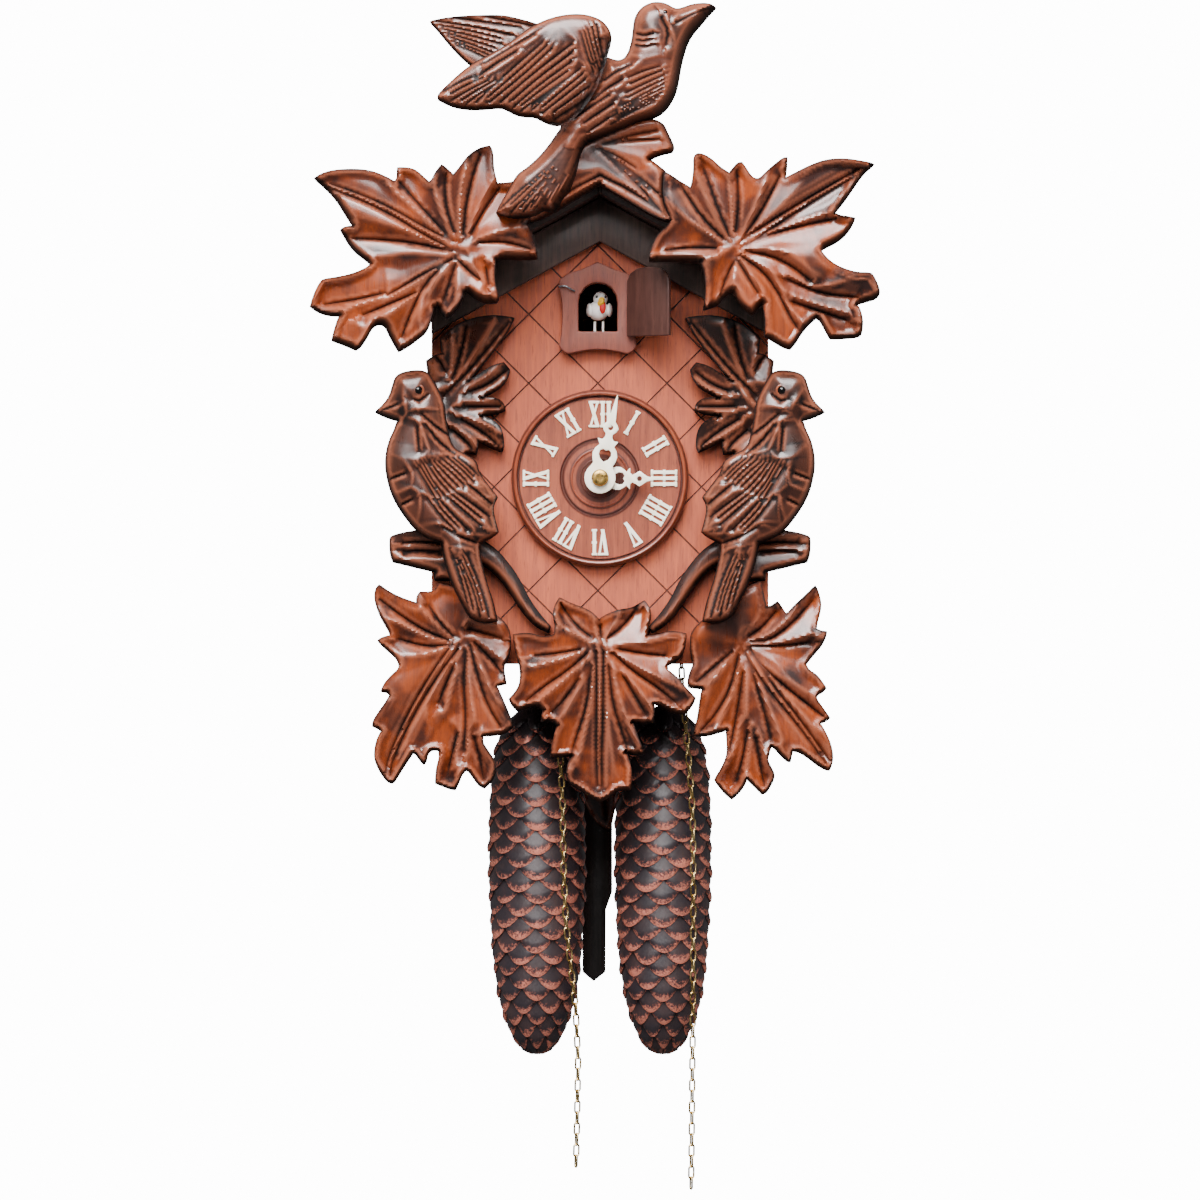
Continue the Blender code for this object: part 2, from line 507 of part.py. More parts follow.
CARVINGS = (
    ("leaf_upper_left", UPPER_LEFT, ROOF_CARVING),
    ("leaf_upper_right", UPPER_RIGHT, ROOF_CARVING),
    ("crown_branch", CROWN_BRANCH, ROOF_CARVING),
    ("crown_wing_front", WING_FRONT_OUTLINE, WING_FRONT),
    ("crown_wing_back", WING_BACK_OUTLINE, WING_BACK),
    ("spray_left", SPRAY_LEFT, LOW_CARVING),
    ("spray_right", mirrored(SPRAY_LEFT), LOW_CARVING),
    ("bird_left", BIRD_LEFT, BIRD_SLAB),
    ("bird_right", mirrored(BIRD_LEFT), BIRD_SLAB),
    ("leaf_lower_left", LOWER_LEFT, LOW_CARVING),
    ("leaf_lower_right", LOWER_RIGHT, LOW_CARVING),
)


def make_carvings():
    for name, outline, (front, back) in CARVINGS:
        prism(name, [outline], front, back, "carved_wood")
    body = prism("crown_bird", [CROWN_BODY_OUTLINE], *CROWN_BODY, "carved_wood")
    tail = prism("tail", [CROWN_TAIL_OUTLINE], *CROWN_TAIL, "carved_wood")
    combine(body, [tail])
    # The bottom leaf is glued to the front panel above and hangs free below the case.
    prism("leaf_bottom", [BOTTOM_LEAF], *BOTTOM_SLAB, "carved_wood")


# -------------------------------------------------------------------------------- dial and hands

MINUTE_HALF = [
    (4.6, 6.4), (5.5, 8.6), (5.8, 11.0), (5.0, 13.4), (3.4, 15.2), (4.9, 17.9), (2.6, 17.8),
    (1.7, 19.2), (1.6, 20.6), (3.0, 22.0), (3.8, 23.6), (3.0, 25.2), (1.7, 26.6), (1.5, 28.6),
    (0.9, 34.0), (0.25, 39.0),
]
HOUR_HALF = [
    (4.7, 5.6), (5.3, 7.4), (5.2, 9.4), (4.1, 11.2), (3.1, 12.2), (5.0, 13.8), (2.7, 13.9),
    (1.7, 14.9), (2.4, 16.4), (3.6, 18.2), (2.4, 20.0), (1.2, 21.6), (0.3, 25.2),
]
HEART_HALF = [(0.0, -3.0), (1.9, -1.6), (2.9, 0.3), (2.6, 2.1), (1.2, 3.0)]
BOSS = 7.2


def hand_outline(half, heart_z, eye_z, bore):
    """A fretted hand that points up: its edge, a heart, a round eye and the bore."""
    boss = []
    for step in range(17):
        angle = math.radians(-220.0 + 260.0 * step / 16)
        boss.append((BOSS * math.cos(angle), BOSS * math.sin(angle)))
    edge = boss + half + [(-x, z) for x, z in reversed(half)]
    heart = [(x, heart_z + z) for x, z in HEART_HALF]
    heart += [(0.0, heart_z + 2.3)]
    heart += [(-x, heart_z + z) for x, z in reversed(HEART_HALF[1:])]
    return [edge, heart, circle((0.0, eye_z), 1.25, 10), circle(CENTRE, bore, 16)]


def turn_loops(loops, degrees):
    """Turn outlines clockwise about the dial's centre."""
    cos = math.cos(math.radians(degrees))
    sin = math.sin(math.radians(degrees))
    return [[(x * cos + z * sin, z * cos - x * sin) for x, z in loop] for loop in loops]


def make_dial():
    ring = [
        (DIAL_BORE, PANEL_FRONT - GAP), (DIAL_BORE, -110.0), (36.6, -110.0), (37.6, -112.6),
        (39.2, -113.6), (40.6, -112.8), (DIAL_RADIUS, -110.5), (DIAL_RADIUS, PANEL_FRONT - GAP),
    ]
    turned("dial", ring, CENTRE, "dial_wood", segments=48, closed=True)
    minute = hand_outline(MINUTE_HALF, 10.5, 23.6, 1.6)
    hand = prism("minute_hand", turn_loops(minute, MINUTE_ANGLE), -119.2, -118.1, "ivory_plastic")
    pivot_at(hand, 0.0, 0.0, 0.0)
    hour = hand_outline(HOUR_HALF, 8.4, 18.2, 3.4)
    hand = prism("hour_hand", turn_loops(hour, HOUR_ANGLE), -116.7, -115.6, "ivory_plastic")
    pivot_at(hand, 0.0, 0.0, 0.0)
    nut = [(1.6, -119.5), (3.9, -119.5), (3.9, -121.0), (3.0, -122.0), (1.6, -122.0)]
    pivot_at(turned("hand_nut", nut, CENTRE, "brass", segments=18, closed=True), 0.0, 0.0, 0.0)


# ---------------------------------------------------------------------------------- the movement

def arbor(centre, front, back, radius=1.1):
    """A round rod along Y."""
    return turned("rod", [(0, front), (radius, front), (radius, back), (0, back)], centre, "steel",
                  segments=10)


def wheel(name, centre, radius, teeth, face, front, back, pinions=()):
    """A toothed wheel on its arbor, with any pinions: (radius, leaves, front, back) each."""
    disc = prism(name, [toothed(centre, radius, teeth, 1.6)], *face, "brass")
    pieces = [arbor(centre, front, back)]
    for pinion_radius, leaves, near, far in pinions:
        outline = toothed(centre, pinion_radius, leaves, min(1.4, pinion_radius * 0.35))
        pieces.append(prism("pinion", [outline], near, far, "brass"))
    combine(disc, pieces)
    return pivot_at(disc, centre[0], 0.0, centre[1])


def make_plates():
    outline = [
        (-50.0, -35.0), (14.0, -35.0), (44.0, -19.0), (49.0, -8.0), (49.0, 42.0), (20.0, 50.0),
        (-20.0, 50.0), (-50.0, 47.0),
    ]
    centres = (CENTRE, TIME_GREAT, THIRD, ESCAPE, ANCHOR, STRIKE_GREAT, PIN_WHEEL, FLY, HAMMER)
    bores = [circle(centre, PLATE_BORE, 8) for centre in centres]
    prism("front_plate", [outline, circle(MOTION, PLATE_BORE, 8)] + bores, *PLATE_FRONT, "brass")
    back = prism("back_plate", [outline] + bores, *PLATE_BACK, "brass")
    posts = [arbor(spot, PLATE_FRONT[1] + GAP, PLATE_BACK[0] + 0.6, 2.2) for spot in PILLARS]
    posts.append(box("cock", (-3.0, PLATE_BACK[1] - 0.6, 47.2), (3.0, PENDULUM_Y + 3.0, 49.4),
                     "brass"))
    combine(back, posts)


def make_time_train():
    wheel("time_great_wheel", TIME_GREAT, 29.5, 48, (-56.0, -54.5), -82.5, -47.5)
    cannon = (2.9, 12, -86.0, -84.0)
    wheel("centre_wheel", CENTRE, 18.5, 40, (-75.0, -73.8), -121.4, -47.5,
          ((6.8, 10, -57.0, -53.5), cannon))
    wheel("third_wheel", THIRD, 12.0, 30, (-66.0, -64.8), -82.5, -47.5, ((3.4, 8, -76.0, -72.8),))
    wheel("escape_wheel", ESCAPE, 9.4, 20, (-60.5, -59.3), -82.5, -47.5, ((2.8, 8, -67.0, -63.8),))
    wheel("minute_wheel", MOTION, 8.9, 36, (-86.0, -84.8), -91.0, -80.8, ((2.3, 8, -90.0, -85.0),))

    hour = prism("hour_wheel", [toothed(CENTRE, 9.8, 32, 1.4), circle(CENTRE, 1.7, 16)],
                 -89.6, -88.4, "brass")
    pipe = turned("pipe", [(1.7, -117.4), (3.0, -117.4), (3.0, -89.0), (1.7, -89.0)], CENTRE, "brass",
                  segments=16, closed=True)
    pivot_at(combine(hour, [pipe]), 0.0, 0.0, 0.0)

    for name, spot in (("time_sprocket", TIME_GREAT), ("strike_sprocket", STRIKE_GREAT)):
        ring = [(1.5, CHAIN_Y - 2.6), (4.4, CHAIN_Y - 2.6), (4.4, CHAIN_Y - 0.9), (3.6, CHAIN_Y),
                (4.4, CHAIN_Y + 0.9), (4.4, CHAIN_Y + 2.6), (1.5, CHAIN_Y + 2.6)]
        sprocket = turned(name, ring, spot, "brass", segments=16, closed=True)
        pivot_at(sprocket, spot[0], 0.0, spot[1])


def make_escapement():
    ax, az = ANCHOR
    ex, ez = ESCAPE
    shape = [
        (ax - 2.5, az + 2.5), (ax + 2.5, az + 2.5), (ex + 11.0, ez + 9.0), (ex + 9.8, ez + 5.8),
        (ex + 8.6, ez + 7.3), (ex + 6.5, ez + 10.2), (ax + 1.0, az - 1.8), (ax - 1.5, az - 1.8),
        (ex - 8.4, ez + 7.2),
        (ex - 9.6, ez + 5.6), (ex - 10.5, ez + 8.0),
    ]
    anchor = prism("anchor", [shape], -61.2, -58.6, "steel")
    crutch = box("crutch", (ax - 1.0, -46.2, 12.0), (ax + 1.0, -44.8, az + 1.5), "steel")
    finger = box("finger", (ax - 1.0, -45.5, 11.0), (ax + 1.0, PENDULUM_Y - 1.6, 13.0), "steel")
    combine(anchor, [arbor(ANCHOR, -82.5, -45.2), crutch, finger])
    pivot_at(anchor, ax, 0.0, az)

    hook = [(0, az + 1.0), (0.9, az + 1.0), (0.9, -97.5), (0, -97.5)]
    leader = turned("pendulum_leader", hook, (0.0, PENDULUM_Y), "steel", axis="Z", segments=8)
    pivot_at(leader, ax, PENDULUM_Y, az)
    stick = [(-8.3, -96.0), (5.8, -96.0), (5.8, -194.5), (2.8, -203.0), (2.6, -232.5), (-3.0, -237.0),
             (-8.3, -232.5)]
    rod = prism("pendulum_rod", [stick], PENDULUM_Y + 1.5, PENDULUM_Y + 6.0, "dark_wood")
    pivot_at(rod, ax, PENDULUM_Y, az)
    bob_outline = [
        (-13.0, -98.0), (13.0, -98.0), (16.0, -112.0), (14.0, -128.0), (13.3, -143.0), (9.0, -148.0),
        (7.0, -156.0), (5.8, -162.5), (4.6, -166.0), (-0.5, -163.5), (-5.0, -158.0), (-8.0, -150.5),
        (-10.0, -143.0), (-14.0, -130.0), (-16.0, -113.0),
    ]
    bob = prism("pendulum_bob", [bob_outline], PENDULUM_Y - 5.0, PENDULUM_Y + 1.2, "carved_wood")
    pivot_at(bob, ax, PENDULUM_Y, az)


def make_strike_train():
    wheel("strike_great_wheel", STRIKE_GREAT, 20.0, 36, (-56.0, -54.5), -82.5, -47.5)
    wheel("pin_wheel", PIN_WHEEL, 13.0, 30, (-71.0, -69.8), -82.5, -47.5, ((4.0, 8, -57.0, -53.5),))
    fx, fz = FLY
    blades = box("fly", (fx - 8.5, -62.5, fz - 0.5), (fx + 8.5, -53.0, fz + 0.5), "brass")
    pinion = prism("pinion", [toothed(FLY, 2.5, 8, 0.8)], -72.0, -68.8, "brass")
    pivot_at(combine(blades, [arbor(FLY, -82.5, -47.5), pinion]), fx, 0.0, fz)

    hx, hz = HAMMER
    arm = [(hx - 2.2, hz + 2.2), (hx + 2.2, hz + 2.2), (1.6, -2.0), (-1.6, -4.6), (hx - 2.2, hz - 2.2)]
    hammer = prism("hammer", [arm], -25.0, -23.2, "steel")
    head = turned("head", [(0, -29.0), (4.2, -29.0), (4.2, -13.0), (0, -13.0)], (0.0, -5.5), "steel",
                  segments=14)
    combine(hammer, [head, arbor(HAMMER, -82.5, -22.0)])
    pivot_at(hammer, hx, 0.0, hz)

    coil = []
    for step in range(6):
        angle = AROUND * step / 6
        coil.append((23.0 + math.cos(angle), -16.0 + math.sin(angle)))
    gong = turned("gong", coil, GONG, "steel", segments=32, closed=True)
    gx, gz = GONG
    spoke = box("spoke", (gx, -16.6, gz - 1.0), (gx + 22.5, -15.4, gz + 1.0), "steel")
    block = box("block", (gx - 4.0, -18.0, gz - 4.0), (gx + 4.0, -5.9, gz + 4.0), "steel")
    pivot_at(combine(gong, [spoke, block]), -CASE_HALF + WALL + GAP, 0.0, 0.0)


def make_bellows():
    for side, name in ((-1, "bellows_left"), (1, "bellows_right")):
        near = min(side * 54.5, side * 69.0)
        box(name, (near, -80.0, 24.0), (near + 14.5, -40.0, 65.0), "bellows_wood")
        top = box(name + "_top", (near, -80.0, 65.4), (near + 14.5, -40.0, 67.6), "bellows_wood")
        pivot_at(top, near, -80.0, 65.4)


# ---------------------------------------------------------------------------- chains and weights

CONE_PROFILE = [
    (0, -108.0), (1.2, -108.0), (1.2, -113.0), (7.0, -113.2), (11.0, -119.0), (16.5, -124.0),
    (19.6, -131.0), (21.6, -141.0), (22.7, -155.0), (23.0, -172.0), (22.8, -190.0), (22.0, -209.0),
    (20.8, -225.0), (19.4, -236.0), (17.2, -247.0), (14.2, -256.5), (10.5, -264.0), (6.0, -269.0),
    (0, -271.0),
]
FREE_CHAINS = {
    "time": [(37.2, -72), (38.2, -94), (39.5, -112), (41.0, -128), (42.6, -146), (43.3, -165),
             (43.4, -200), (43.2, -250), (42.7, -300), (42.4, -330)],
    "strike": [(-18.9, -72), (-18.8, -100), (-18.4, -129), (-17.4, -150), (-17.0, -180),
               (-16.0, -205), (-13.8, -225), (-11.4, -245), (-10.2, -270), (-10.6, -295),
               (-11.2, -320)],
}


def free_chain(name, route):
    """The run of chain that hangs loose in front of its weight."""
    curve = bpy.data.curves.new(name, "CURVE")
    curve.dimensions = "3D"
    curve.bevel_depth = CHAIN_RADIUS * MM
    curve.bevel_resolution = 2
    curve.use_fill_caps = True
    line = curve.splines.new("POLY")
    line.points.add(len(route) - 1)
    for point, (x, z) in zip(line.points, route):
        point.co = (*place(x, FREE_CHAIN_Y, z), 1.0)
    curve.materials.append(finish("brass"))
    chain = bpy.data.objects.new(name, curve)
    bpy.context.scene.collection.objects.link(chain)
    return chain


def make_weights():
    for side, x in WEIGHT_X.items():
        run = [(0, CHAIN_TOP), (CHAIN_RADIUS, CHAIN_TOP), (CHAIN_RADIUS, -107.4), (0, -107.4)]
        turned(f"chain_{side}_weight", run, (x, CHAIN_Y), "brass", axis="Z", segments=8)
        free_chain(f"chain_{side}_free", FREE_CHAINS[side])
        turned(f"weight_{side}", CONE_PROFILE, (x, CHAIN_Y), "weight_iron", axis="Z", segments=24)


def main():
    for leftover in list(bpy.data.objects):
        bpy.data.objects.remove(leftover)
    make_case()
    make_roof()
    make_cuckoo()
    make_carvings()
    make_dial()
    make_plates()
    make_time_train()
    make_escapement()
    make_strike_train()
    make_bellows()
    make_weights()


main()
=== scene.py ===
import json
import math
import random

import bmesh
import bpy
import numpy as np
from mathutils import Matrix, Vector
from mathutils.geometry import delaunay_2d_cdt


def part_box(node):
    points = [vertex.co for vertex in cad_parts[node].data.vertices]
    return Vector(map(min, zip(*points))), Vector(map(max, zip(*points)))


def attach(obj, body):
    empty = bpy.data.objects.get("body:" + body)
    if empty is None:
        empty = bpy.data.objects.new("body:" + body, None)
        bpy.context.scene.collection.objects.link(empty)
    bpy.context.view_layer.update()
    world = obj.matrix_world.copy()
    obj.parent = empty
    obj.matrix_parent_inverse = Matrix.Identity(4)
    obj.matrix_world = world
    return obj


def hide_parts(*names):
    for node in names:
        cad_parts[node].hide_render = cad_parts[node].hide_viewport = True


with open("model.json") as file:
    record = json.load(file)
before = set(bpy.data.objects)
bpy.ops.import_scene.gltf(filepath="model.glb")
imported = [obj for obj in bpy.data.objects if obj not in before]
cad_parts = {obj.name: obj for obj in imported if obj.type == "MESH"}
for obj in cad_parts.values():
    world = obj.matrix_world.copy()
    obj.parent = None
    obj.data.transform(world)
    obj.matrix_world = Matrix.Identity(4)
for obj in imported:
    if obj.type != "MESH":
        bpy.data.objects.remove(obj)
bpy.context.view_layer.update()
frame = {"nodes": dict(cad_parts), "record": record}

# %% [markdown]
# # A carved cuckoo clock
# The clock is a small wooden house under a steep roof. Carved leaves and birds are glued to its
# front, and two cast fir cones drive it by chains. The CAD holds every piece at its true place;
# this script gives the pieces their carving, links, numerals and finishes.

MM = 0.001
dial_low, dial_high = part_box("dial")
DIAL_Z = (dial_low.z + dial_high.z) / 2.0


def at(x, y, z):
    """A point in metres from millimetres: x and z from the dial's centre, y from the wall."""
    return Vector((x, y, z)) * MM + Vector((0.0, 0.0, DIAL_Z))


# %% [markdown]
# ## Camera
# The clock is seen straight on from a good distance, as in a catalogue, with a long lens so that
# the leaves in front don't look larger than the case behind them.

# %% Camera
VIEW_DISTANCE = 3.2
VIEW_WIDTH = 0.552
carving_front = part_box("leaf_bottom")[0].y
camera_data = bpy.data.cameras.new("camera")
camera_data.sensor_width = 36.0
camera_data.lens = 36.0 * (VIEW_DISTANCE + carving_front) / VIEW_WIDTH
camera = bpy.data.objects.new("camera", camera_data)
bpy.context.scene.collection.objects.link(camera)
camera.location = (0.0, -VIEW_DISTANCE, DIAL_Z - 0.0563)
camera.rotation_euler = (math.radians(90.0), 0.0, 0.0)
bpy.context.scene.camera = camera
print("lens", round(camera_data.lens, 1))

# %% [markdown]
# ## Node trees in words
# Materials are built node by node. One helper adds a node, sets its options, and fills or joins
# its inputs, so each material below reads as a list of what it does.

# %% Node helpers
def add(tree, kind, options=None, inputs=None):
    """Add a node. An input's value is a number, a colour or another node's output."""
    made = tree.nodes.new(kind)
    for key, value in (options or {}).items():
        setattr(made, key, value)
    for key, value in (inputs or {}).items():
        if isinstance(value, bpy.types.NodeSocket):
            tree.links.new(value, made.inputs[key])
        else:
            made.inputs[key].default_value = value
    return made


def blend_colours(tree, share, low, high):
    """Go from one colour to another as a share rises."""
    options = {"data_type": "RGBA", "blend_type": "MIX"}
    return add(tree, "ShaderNodeMix", options, {0: share, 6: low, 7: high}).outputs[2]


def math_node(tree, kind, one, two=0.0, clamp=False):
    """One sum on two values."""
    options = {"operation": kind, "use_clamp": clamp}
    return add(tree, "ShaderNodeMath", options, {0: one, 1: two}).outputs[0]


def band(tree, value, low, high, start=0.0, end=1.0):
    """Spread a value from low..high over start..end."""
    options = {"interpolation_type": "SMOOTHSTEP"}
    inputs = {0: value, 1: low, 2: high, 3: start, 4: end}
    return add(tree, "ShaderNodeMapRange", options, inputs).outputs[0]


def noise(tree, vector, scale, detail=3.0, rough=0.55):
    """A cloudy pattern between 0 and 1."""
    inputs = {"Vector": vector, "Scale": scale, "Detail": detail, "Roughness": rough}
    return add(tree, "ShaderNodeTexNoise", None, inputs).outputs["Fac"]


print("node helpers ready")


# %% [markdown]
# ## Groups and colours
# A shader group is built once and placed in each material with its own values. Colours are given
# as they look on a screen and changed to the linear values that shaders work in.

# %% Group and colour helpers
def new_group(name, sockets_in, sockets_out):
    """A shader group with float or colour sockets."""
    group = bpy.data.node_groups.new(name, "ShaderNodeTree")
    for direction, sockets in (("INPUT", sockets_in), ("OUTPUT", sockets_out)):
        for label, start in sockets.items():
            kind = "NodeSocketColor" if isinstance(start, tuple) else "NodeSocketFloat"
            socket = group.interface.new_socket(label, in_out=direction, socket_type=kind)
            if direction == "INPUT":
                socket.default_value = start
    return group, group.nodes.new("NodeGroupInput").outputs, group.nodes.new("NodeGroupOutput").inputs


def rgb(red, green, blue):
    """A colour from screen values to the linear ones that shaders use."""
    linear = []
    for value in (red, green, blue):
        share = value / 255.0
        linear.append(share / 12.92 if share < 0.04045 else ((share + 0.055) / 1.055) ** 2.4)
    return (*linear, 1.0)


def use_group(tree, group, inputs):
    """Place a group in a tree and give its outputs."""
    return add(tree, "ShaderNodeGroup", {"node_tree": group}, inputs).outputs


print("mid brown in linear values:", [round(value, 3) for value in rgb(112, 50, 34)[:3]])


# %% [markdown]
# ## Wood grain
# Lime wood has fine, straight grain. A noise that is squeezed in width and long in height gives
# the fibres, a finer one the pores, and a broad one the uneven way that stain is taken up. It is a
# group, so every wood on the clock shares it, each with its own direction.

# %% Grain group
grain_group, grain_in, grain_out = new_group(
    "wood grain",
    {"Along X": 0.0, "Along Y": 0.0, "Fibre Scale": 1.0},
    {"Fibre": 0.0, "Pore": 0.0, "Cloud": 0.0, "Height": 0.0})
gt = grain_group
place_at = add(gt, "ShaderNodeTexCoord").outputs["Object"]
upright = add(gt, "ShaderNodeMapping", None, {"Vector": place_at, "Scale": (1.0, 1.0, 0.07)}).outputs[0]
lying = add(gt, "ShaderNodeMapping", None, {"Vector": place_at, "Scale": (0.07, 1.0, 1.0)}).outputs[0]
way = add(gt, "ShaderNodeMix", {"data_type": "VECTOR"},
          {0: grain_in["Along X"], 4: upright, 5: lying}).outputs[1]
deep_way = add(gt, "ShaderNodeMapping", None, {"Vector": place_at, "Scale": (1.0, 0.07, 1.0)}).outputs[0]
way = add(gt, "ShaderNodeMix", {"data_type": "VECTOR"},
          {0: grain_in["Along Y"], 4: way, 5: deep_way}).outputs[1]
scaled = add(gt, "ShaderNodeVectorMath", {"operation": "SCALE"},
             {0: way, "Scale": grain_in["Fibre Scale"]}).outputs[0]
fibre = noise(gt, scaled, 620.0, 5.0, 0.62)
pore = noise(gt, scaled, 2100.0, 2.0, 0.7)
cloud = noise(gt, place_at, 44.0, 3.0, 0.55)
gt.links.new(fibre, grain_out["Fibre"])
gt.links.new(band(gt, pore, 0.56, 0.70), grain_out["Pore"])
gt.links.new(cloud, grain_out["Cloud"])
gt.links.new(math_node(gt, "SUBTRACT", fibre, math_node(gt, "MULTIPLY", pore, 0.6)), grain_out["Height"])
print("grain group has", len(gt.nodes), "nodes")

# %% [markdown]
# ## The carver's stain and painted light
# The carvings are stained nearly black, rubbed back while wet, and varnished. So the cuts and the
# edges stay black, the broad faces are brown, and the ridges that the rag reaches are orange.
# Light and shade are painted in too. The black at the edges widens into painted shade where an
# edge faces down. The pale ridges are a painted highlight as well as rubbing. The broad side of
# each ridge is painted lighter than its steep side, as if lit. Each carving's mesh carries four
# masks: cut, rim, rub, and tone for the broad side of each ridge. The group turns them into a
# colour, a roughness and a gloss.

# %% Stain group
stain_group, stain_in, stain_out = new_group(
    "rubbed stain",
    {"Rubbed": rgb(186, 92, 52), "Body": rgb(112, 50, 34), "Deep": rgb(24, 10, 8),
     "Bare_And_Sheen": rgb(225, 160, 130), "Cut": 0.0, "Rim": 0.0, "Rub_And_Sheen": 0.0, "Tone": 0.0,
     "Fibre": 0.5, "Cloud": 0.5},
    {"Color": (0.0, 0.0, 0.0, 1.0), "Roughness": 0.0, "Gloss": 0.0})
st = stain_group
cloudy = band(st, stain_in["Cloud"], 0.4, 0.6, -0.2, 0.7)
# Painted light: the tone mask paints the broad side of each ridge in the lighter colour, as if lit, and
# leaves the steep side in the darker body colour, as if in shade. The cloud adds uneven stain.
patch = math_node(st, "ADD", cloudy, math_node(st, "MULTIPLY", stain_in["Tone"], 0.45), clamp=True)
tone = blend_colours(st, patch, stain_in["Body"], stain_in["Rubbed"])
tone = blend_colours(st, band(st, stain_in["Fibre"], 0.35, 0.72, 0.0, 0.4), tone, stain_in["Body"])
# The pale colour on whatever stands above its neighbours is partly wood that the rag bared and partly a
# painted highlight on the ridges.
tone = blend_colours(st, math_node(st, "MULTIPLY", stain_in["Rub_And_Sheen"], 0.5), tone, stain_in["Bare_And_Sheen"])
# The rim is dark stain at the very edge, widened into painted shade where an edge faces down.
shade = math_node(st, "MAXIMUM", math_node(st, "MULTIPLY", stain_in["Cut"], 0.88),
                  math_node(st, "MULTIPLY", stain_in["Rim"], 0.92), clamp=True)
tone = blend_colours(st, shade, tone, stain_in["Deep"])
st.links.new(tone, stain_out["Color"])
satin = band(st, stain_in["Fibre"], 0.3, 0.8, 0.26, 0.42)
dull = math_node(st, "ADD", satin, math_node(st, "MULTIPLY", shade, 0.5), clamp=True)
st.links.new(dull, stain_out["Roughness"])
st.links.new(band(st, shade, 0.03, 0.4, 0.95, 0.0), stain_out["Gloss"])
print("stain group has", len(st.nodes), "nodes")


# %% [markdown]
# ## Wood materials
# All woods share one recipe: grain, a tone between two browns, a little relief from the fibres,
# and varnish as a coat. Two helpers start a material and turn a height into fine relief.

# %% Wood helpers
RELIEF_DEPTH = 0.0003


def shader_of(name):
    """A new material, its tree and its shader."""
    material = bpy.data.materials.new(name)
    material.use_nodes = True
    tree = material.node_tree
    return material, tree, tree.nodes["Principled BSDF"]


def relief_normal(tree, height, strength):
    """Fine relief that is too small to model."""
    inputs = {"Height": height, "Strength": strength, "Distance": RELIEF_DEPTH}
    return add(tree, "ShaderNodeBump", None, inputs).outputs["Normal"]


print("wood helpers ready")


# %% [markdown]
# ## Carved wood and board wood
# A carving takes its colour from the stain group, by the masks on its mesh, which carry painted
# light and shade as well as the stain, and its gloss from the varnish over it. A board has no masks:
# its fibres run between two browns and its pores are dark.

# %% Carved wood and board wood
def carved_wood(name, rubbed, body, deep, coat=0.9, along_x=0.0):
    """Stained and rubbed carving, with masks from the mesh for the stain and for painted light and shade.
    """
    material, tree, shader = shader_of(name)
    grain = use_group(tree, grain_group, {"Along X": along_x, "Fibre Scale": 1.0})
    masks = {}
    for label in ("Cut", "Rim", "Rub_And_Sheen", "Tone"):
        masks[label] = add(tree, "ShaderNodeAttribute", {"attribute_name": label.lower()}).outputs["Fac"]
    # The pale colour below is both bared wood and a painted highlight on the ridges.
    stain = use_group(tree, stain_group, {
        "Rubbed": rubbed, "Body": body, "Deep": deep, "Bare_And_Sheen": rgb(176, 104, 76),
        "Fibre": grain["Fibre"], "Cloud": grain["Cloud"], **masks})
    tree.links.new(stain["Color"], shader.inputs["Base Color"])
    tree.links.new(stain["Roughness"], shader.inputs["Roughness"])
    tree.links.new(math_node(tree, "MULTIPLY", stain["Gloss"], coat), shader.inputs["Coat Weight"])
    tree.links.new(relief_normal(tree, grain["Height"], 0.16), shader.inputs["Normal"])
    shader.inputs["Coat Roughness"].default_value = 0.27
    shader.inputs["Specular IOR Level"].default_value = 0.25
    shader.inputs["Coat Tint"].default_value = (1.0, 0.95, 0.93, 1.0)
    return material


def plain_wood(name, light, dark, rough=0.42, coat=0.3, along_y=0.0, pores=0.5):
    """Flat stained board."""
    material, tree, shader = shader_of(name)
    grain = use_group(tree, grain_group, {"Along X": 0.0, "Along Y": along_y, "Fibre Scale": 0.85})
    tone = blend_colours(tree, band(tree, grain["Fibre"], 0.32, 0.70), dark, light)
    tone = blend_colours(tree, band(tree, grain["Cloud"], 0.3, 0.75, 0.0, 0.35), tone, dark)
    deep = tuple(value * 0.45 for value in dark[:3]) + (1.0,)
    tone = blend_colours(tree, math_node(tree, "MULTIPLY", grain["Pore"], pores), tone, deep)
    tree.links.new(tone, shader.inputs["Base Color"])
    tree.links.new(band(tree, grain["Fibre"], 0.2, 0.8, rough - 0.06, rough + 0.1),
                   shader.inputs["Roughness"])
    tree.links.new(relief_normal(tree, grain["Height"], 0.2), shader.inputs["Normal"])
    shader.inputs["Coat Weight"].default_value = coat
    shader.inputs["Coat Roughness"].default_value = 0.25
    return material


print("wood recipes ready")

# %% [markdown]
# ## The clock's woods
# The leaves are rubbed back most, the crown less, and the side birds and sprays least. The panel
# is the lightest board, the gable board and the roof are the darkest, and the boards that only the
# clockmaker sees are left bare. The gable board's dark brown is partly painted shade from the roof,
# and the doorway board's darker brown is partly painted shade from the crown.

# %% The clock's woods
CARVED = carved_wood("carved leaves", rgb(136, 60, 24), rgb(40, 23, 21), rgb(17, 12, 11))
CARVED_CROWN = carved_wood("carved crown", rgb(84, 41, 27), rgb(25, 17, 16), rgb(13, 9, 9), along_x=1.0)
CARVED_BIRD = carved_wood("carved birds", rgb(56, 28, 20), rgb(22, 15, 14), rgb(12, 9, 9))
PANEL = plain_wood("facade panel", rgb(178, 86, 52), rgb(152, 70, 44), rough=0.62, coat=0.0, pores=0.6)
# The doorway board is darker than the panel partly as painted shade from the crown over the top of the
# front.
PLAQUE = plain_wood("doorway board", rgb(128, 68, 52), rgb(106, 54, 43), rough=0.6, coat=0.0, pores=0.6)
CASE = plain_wood("case sides", rgb(96, 52, 38), rgb(62, 32, 24), rough=0.5, coat=0.2)
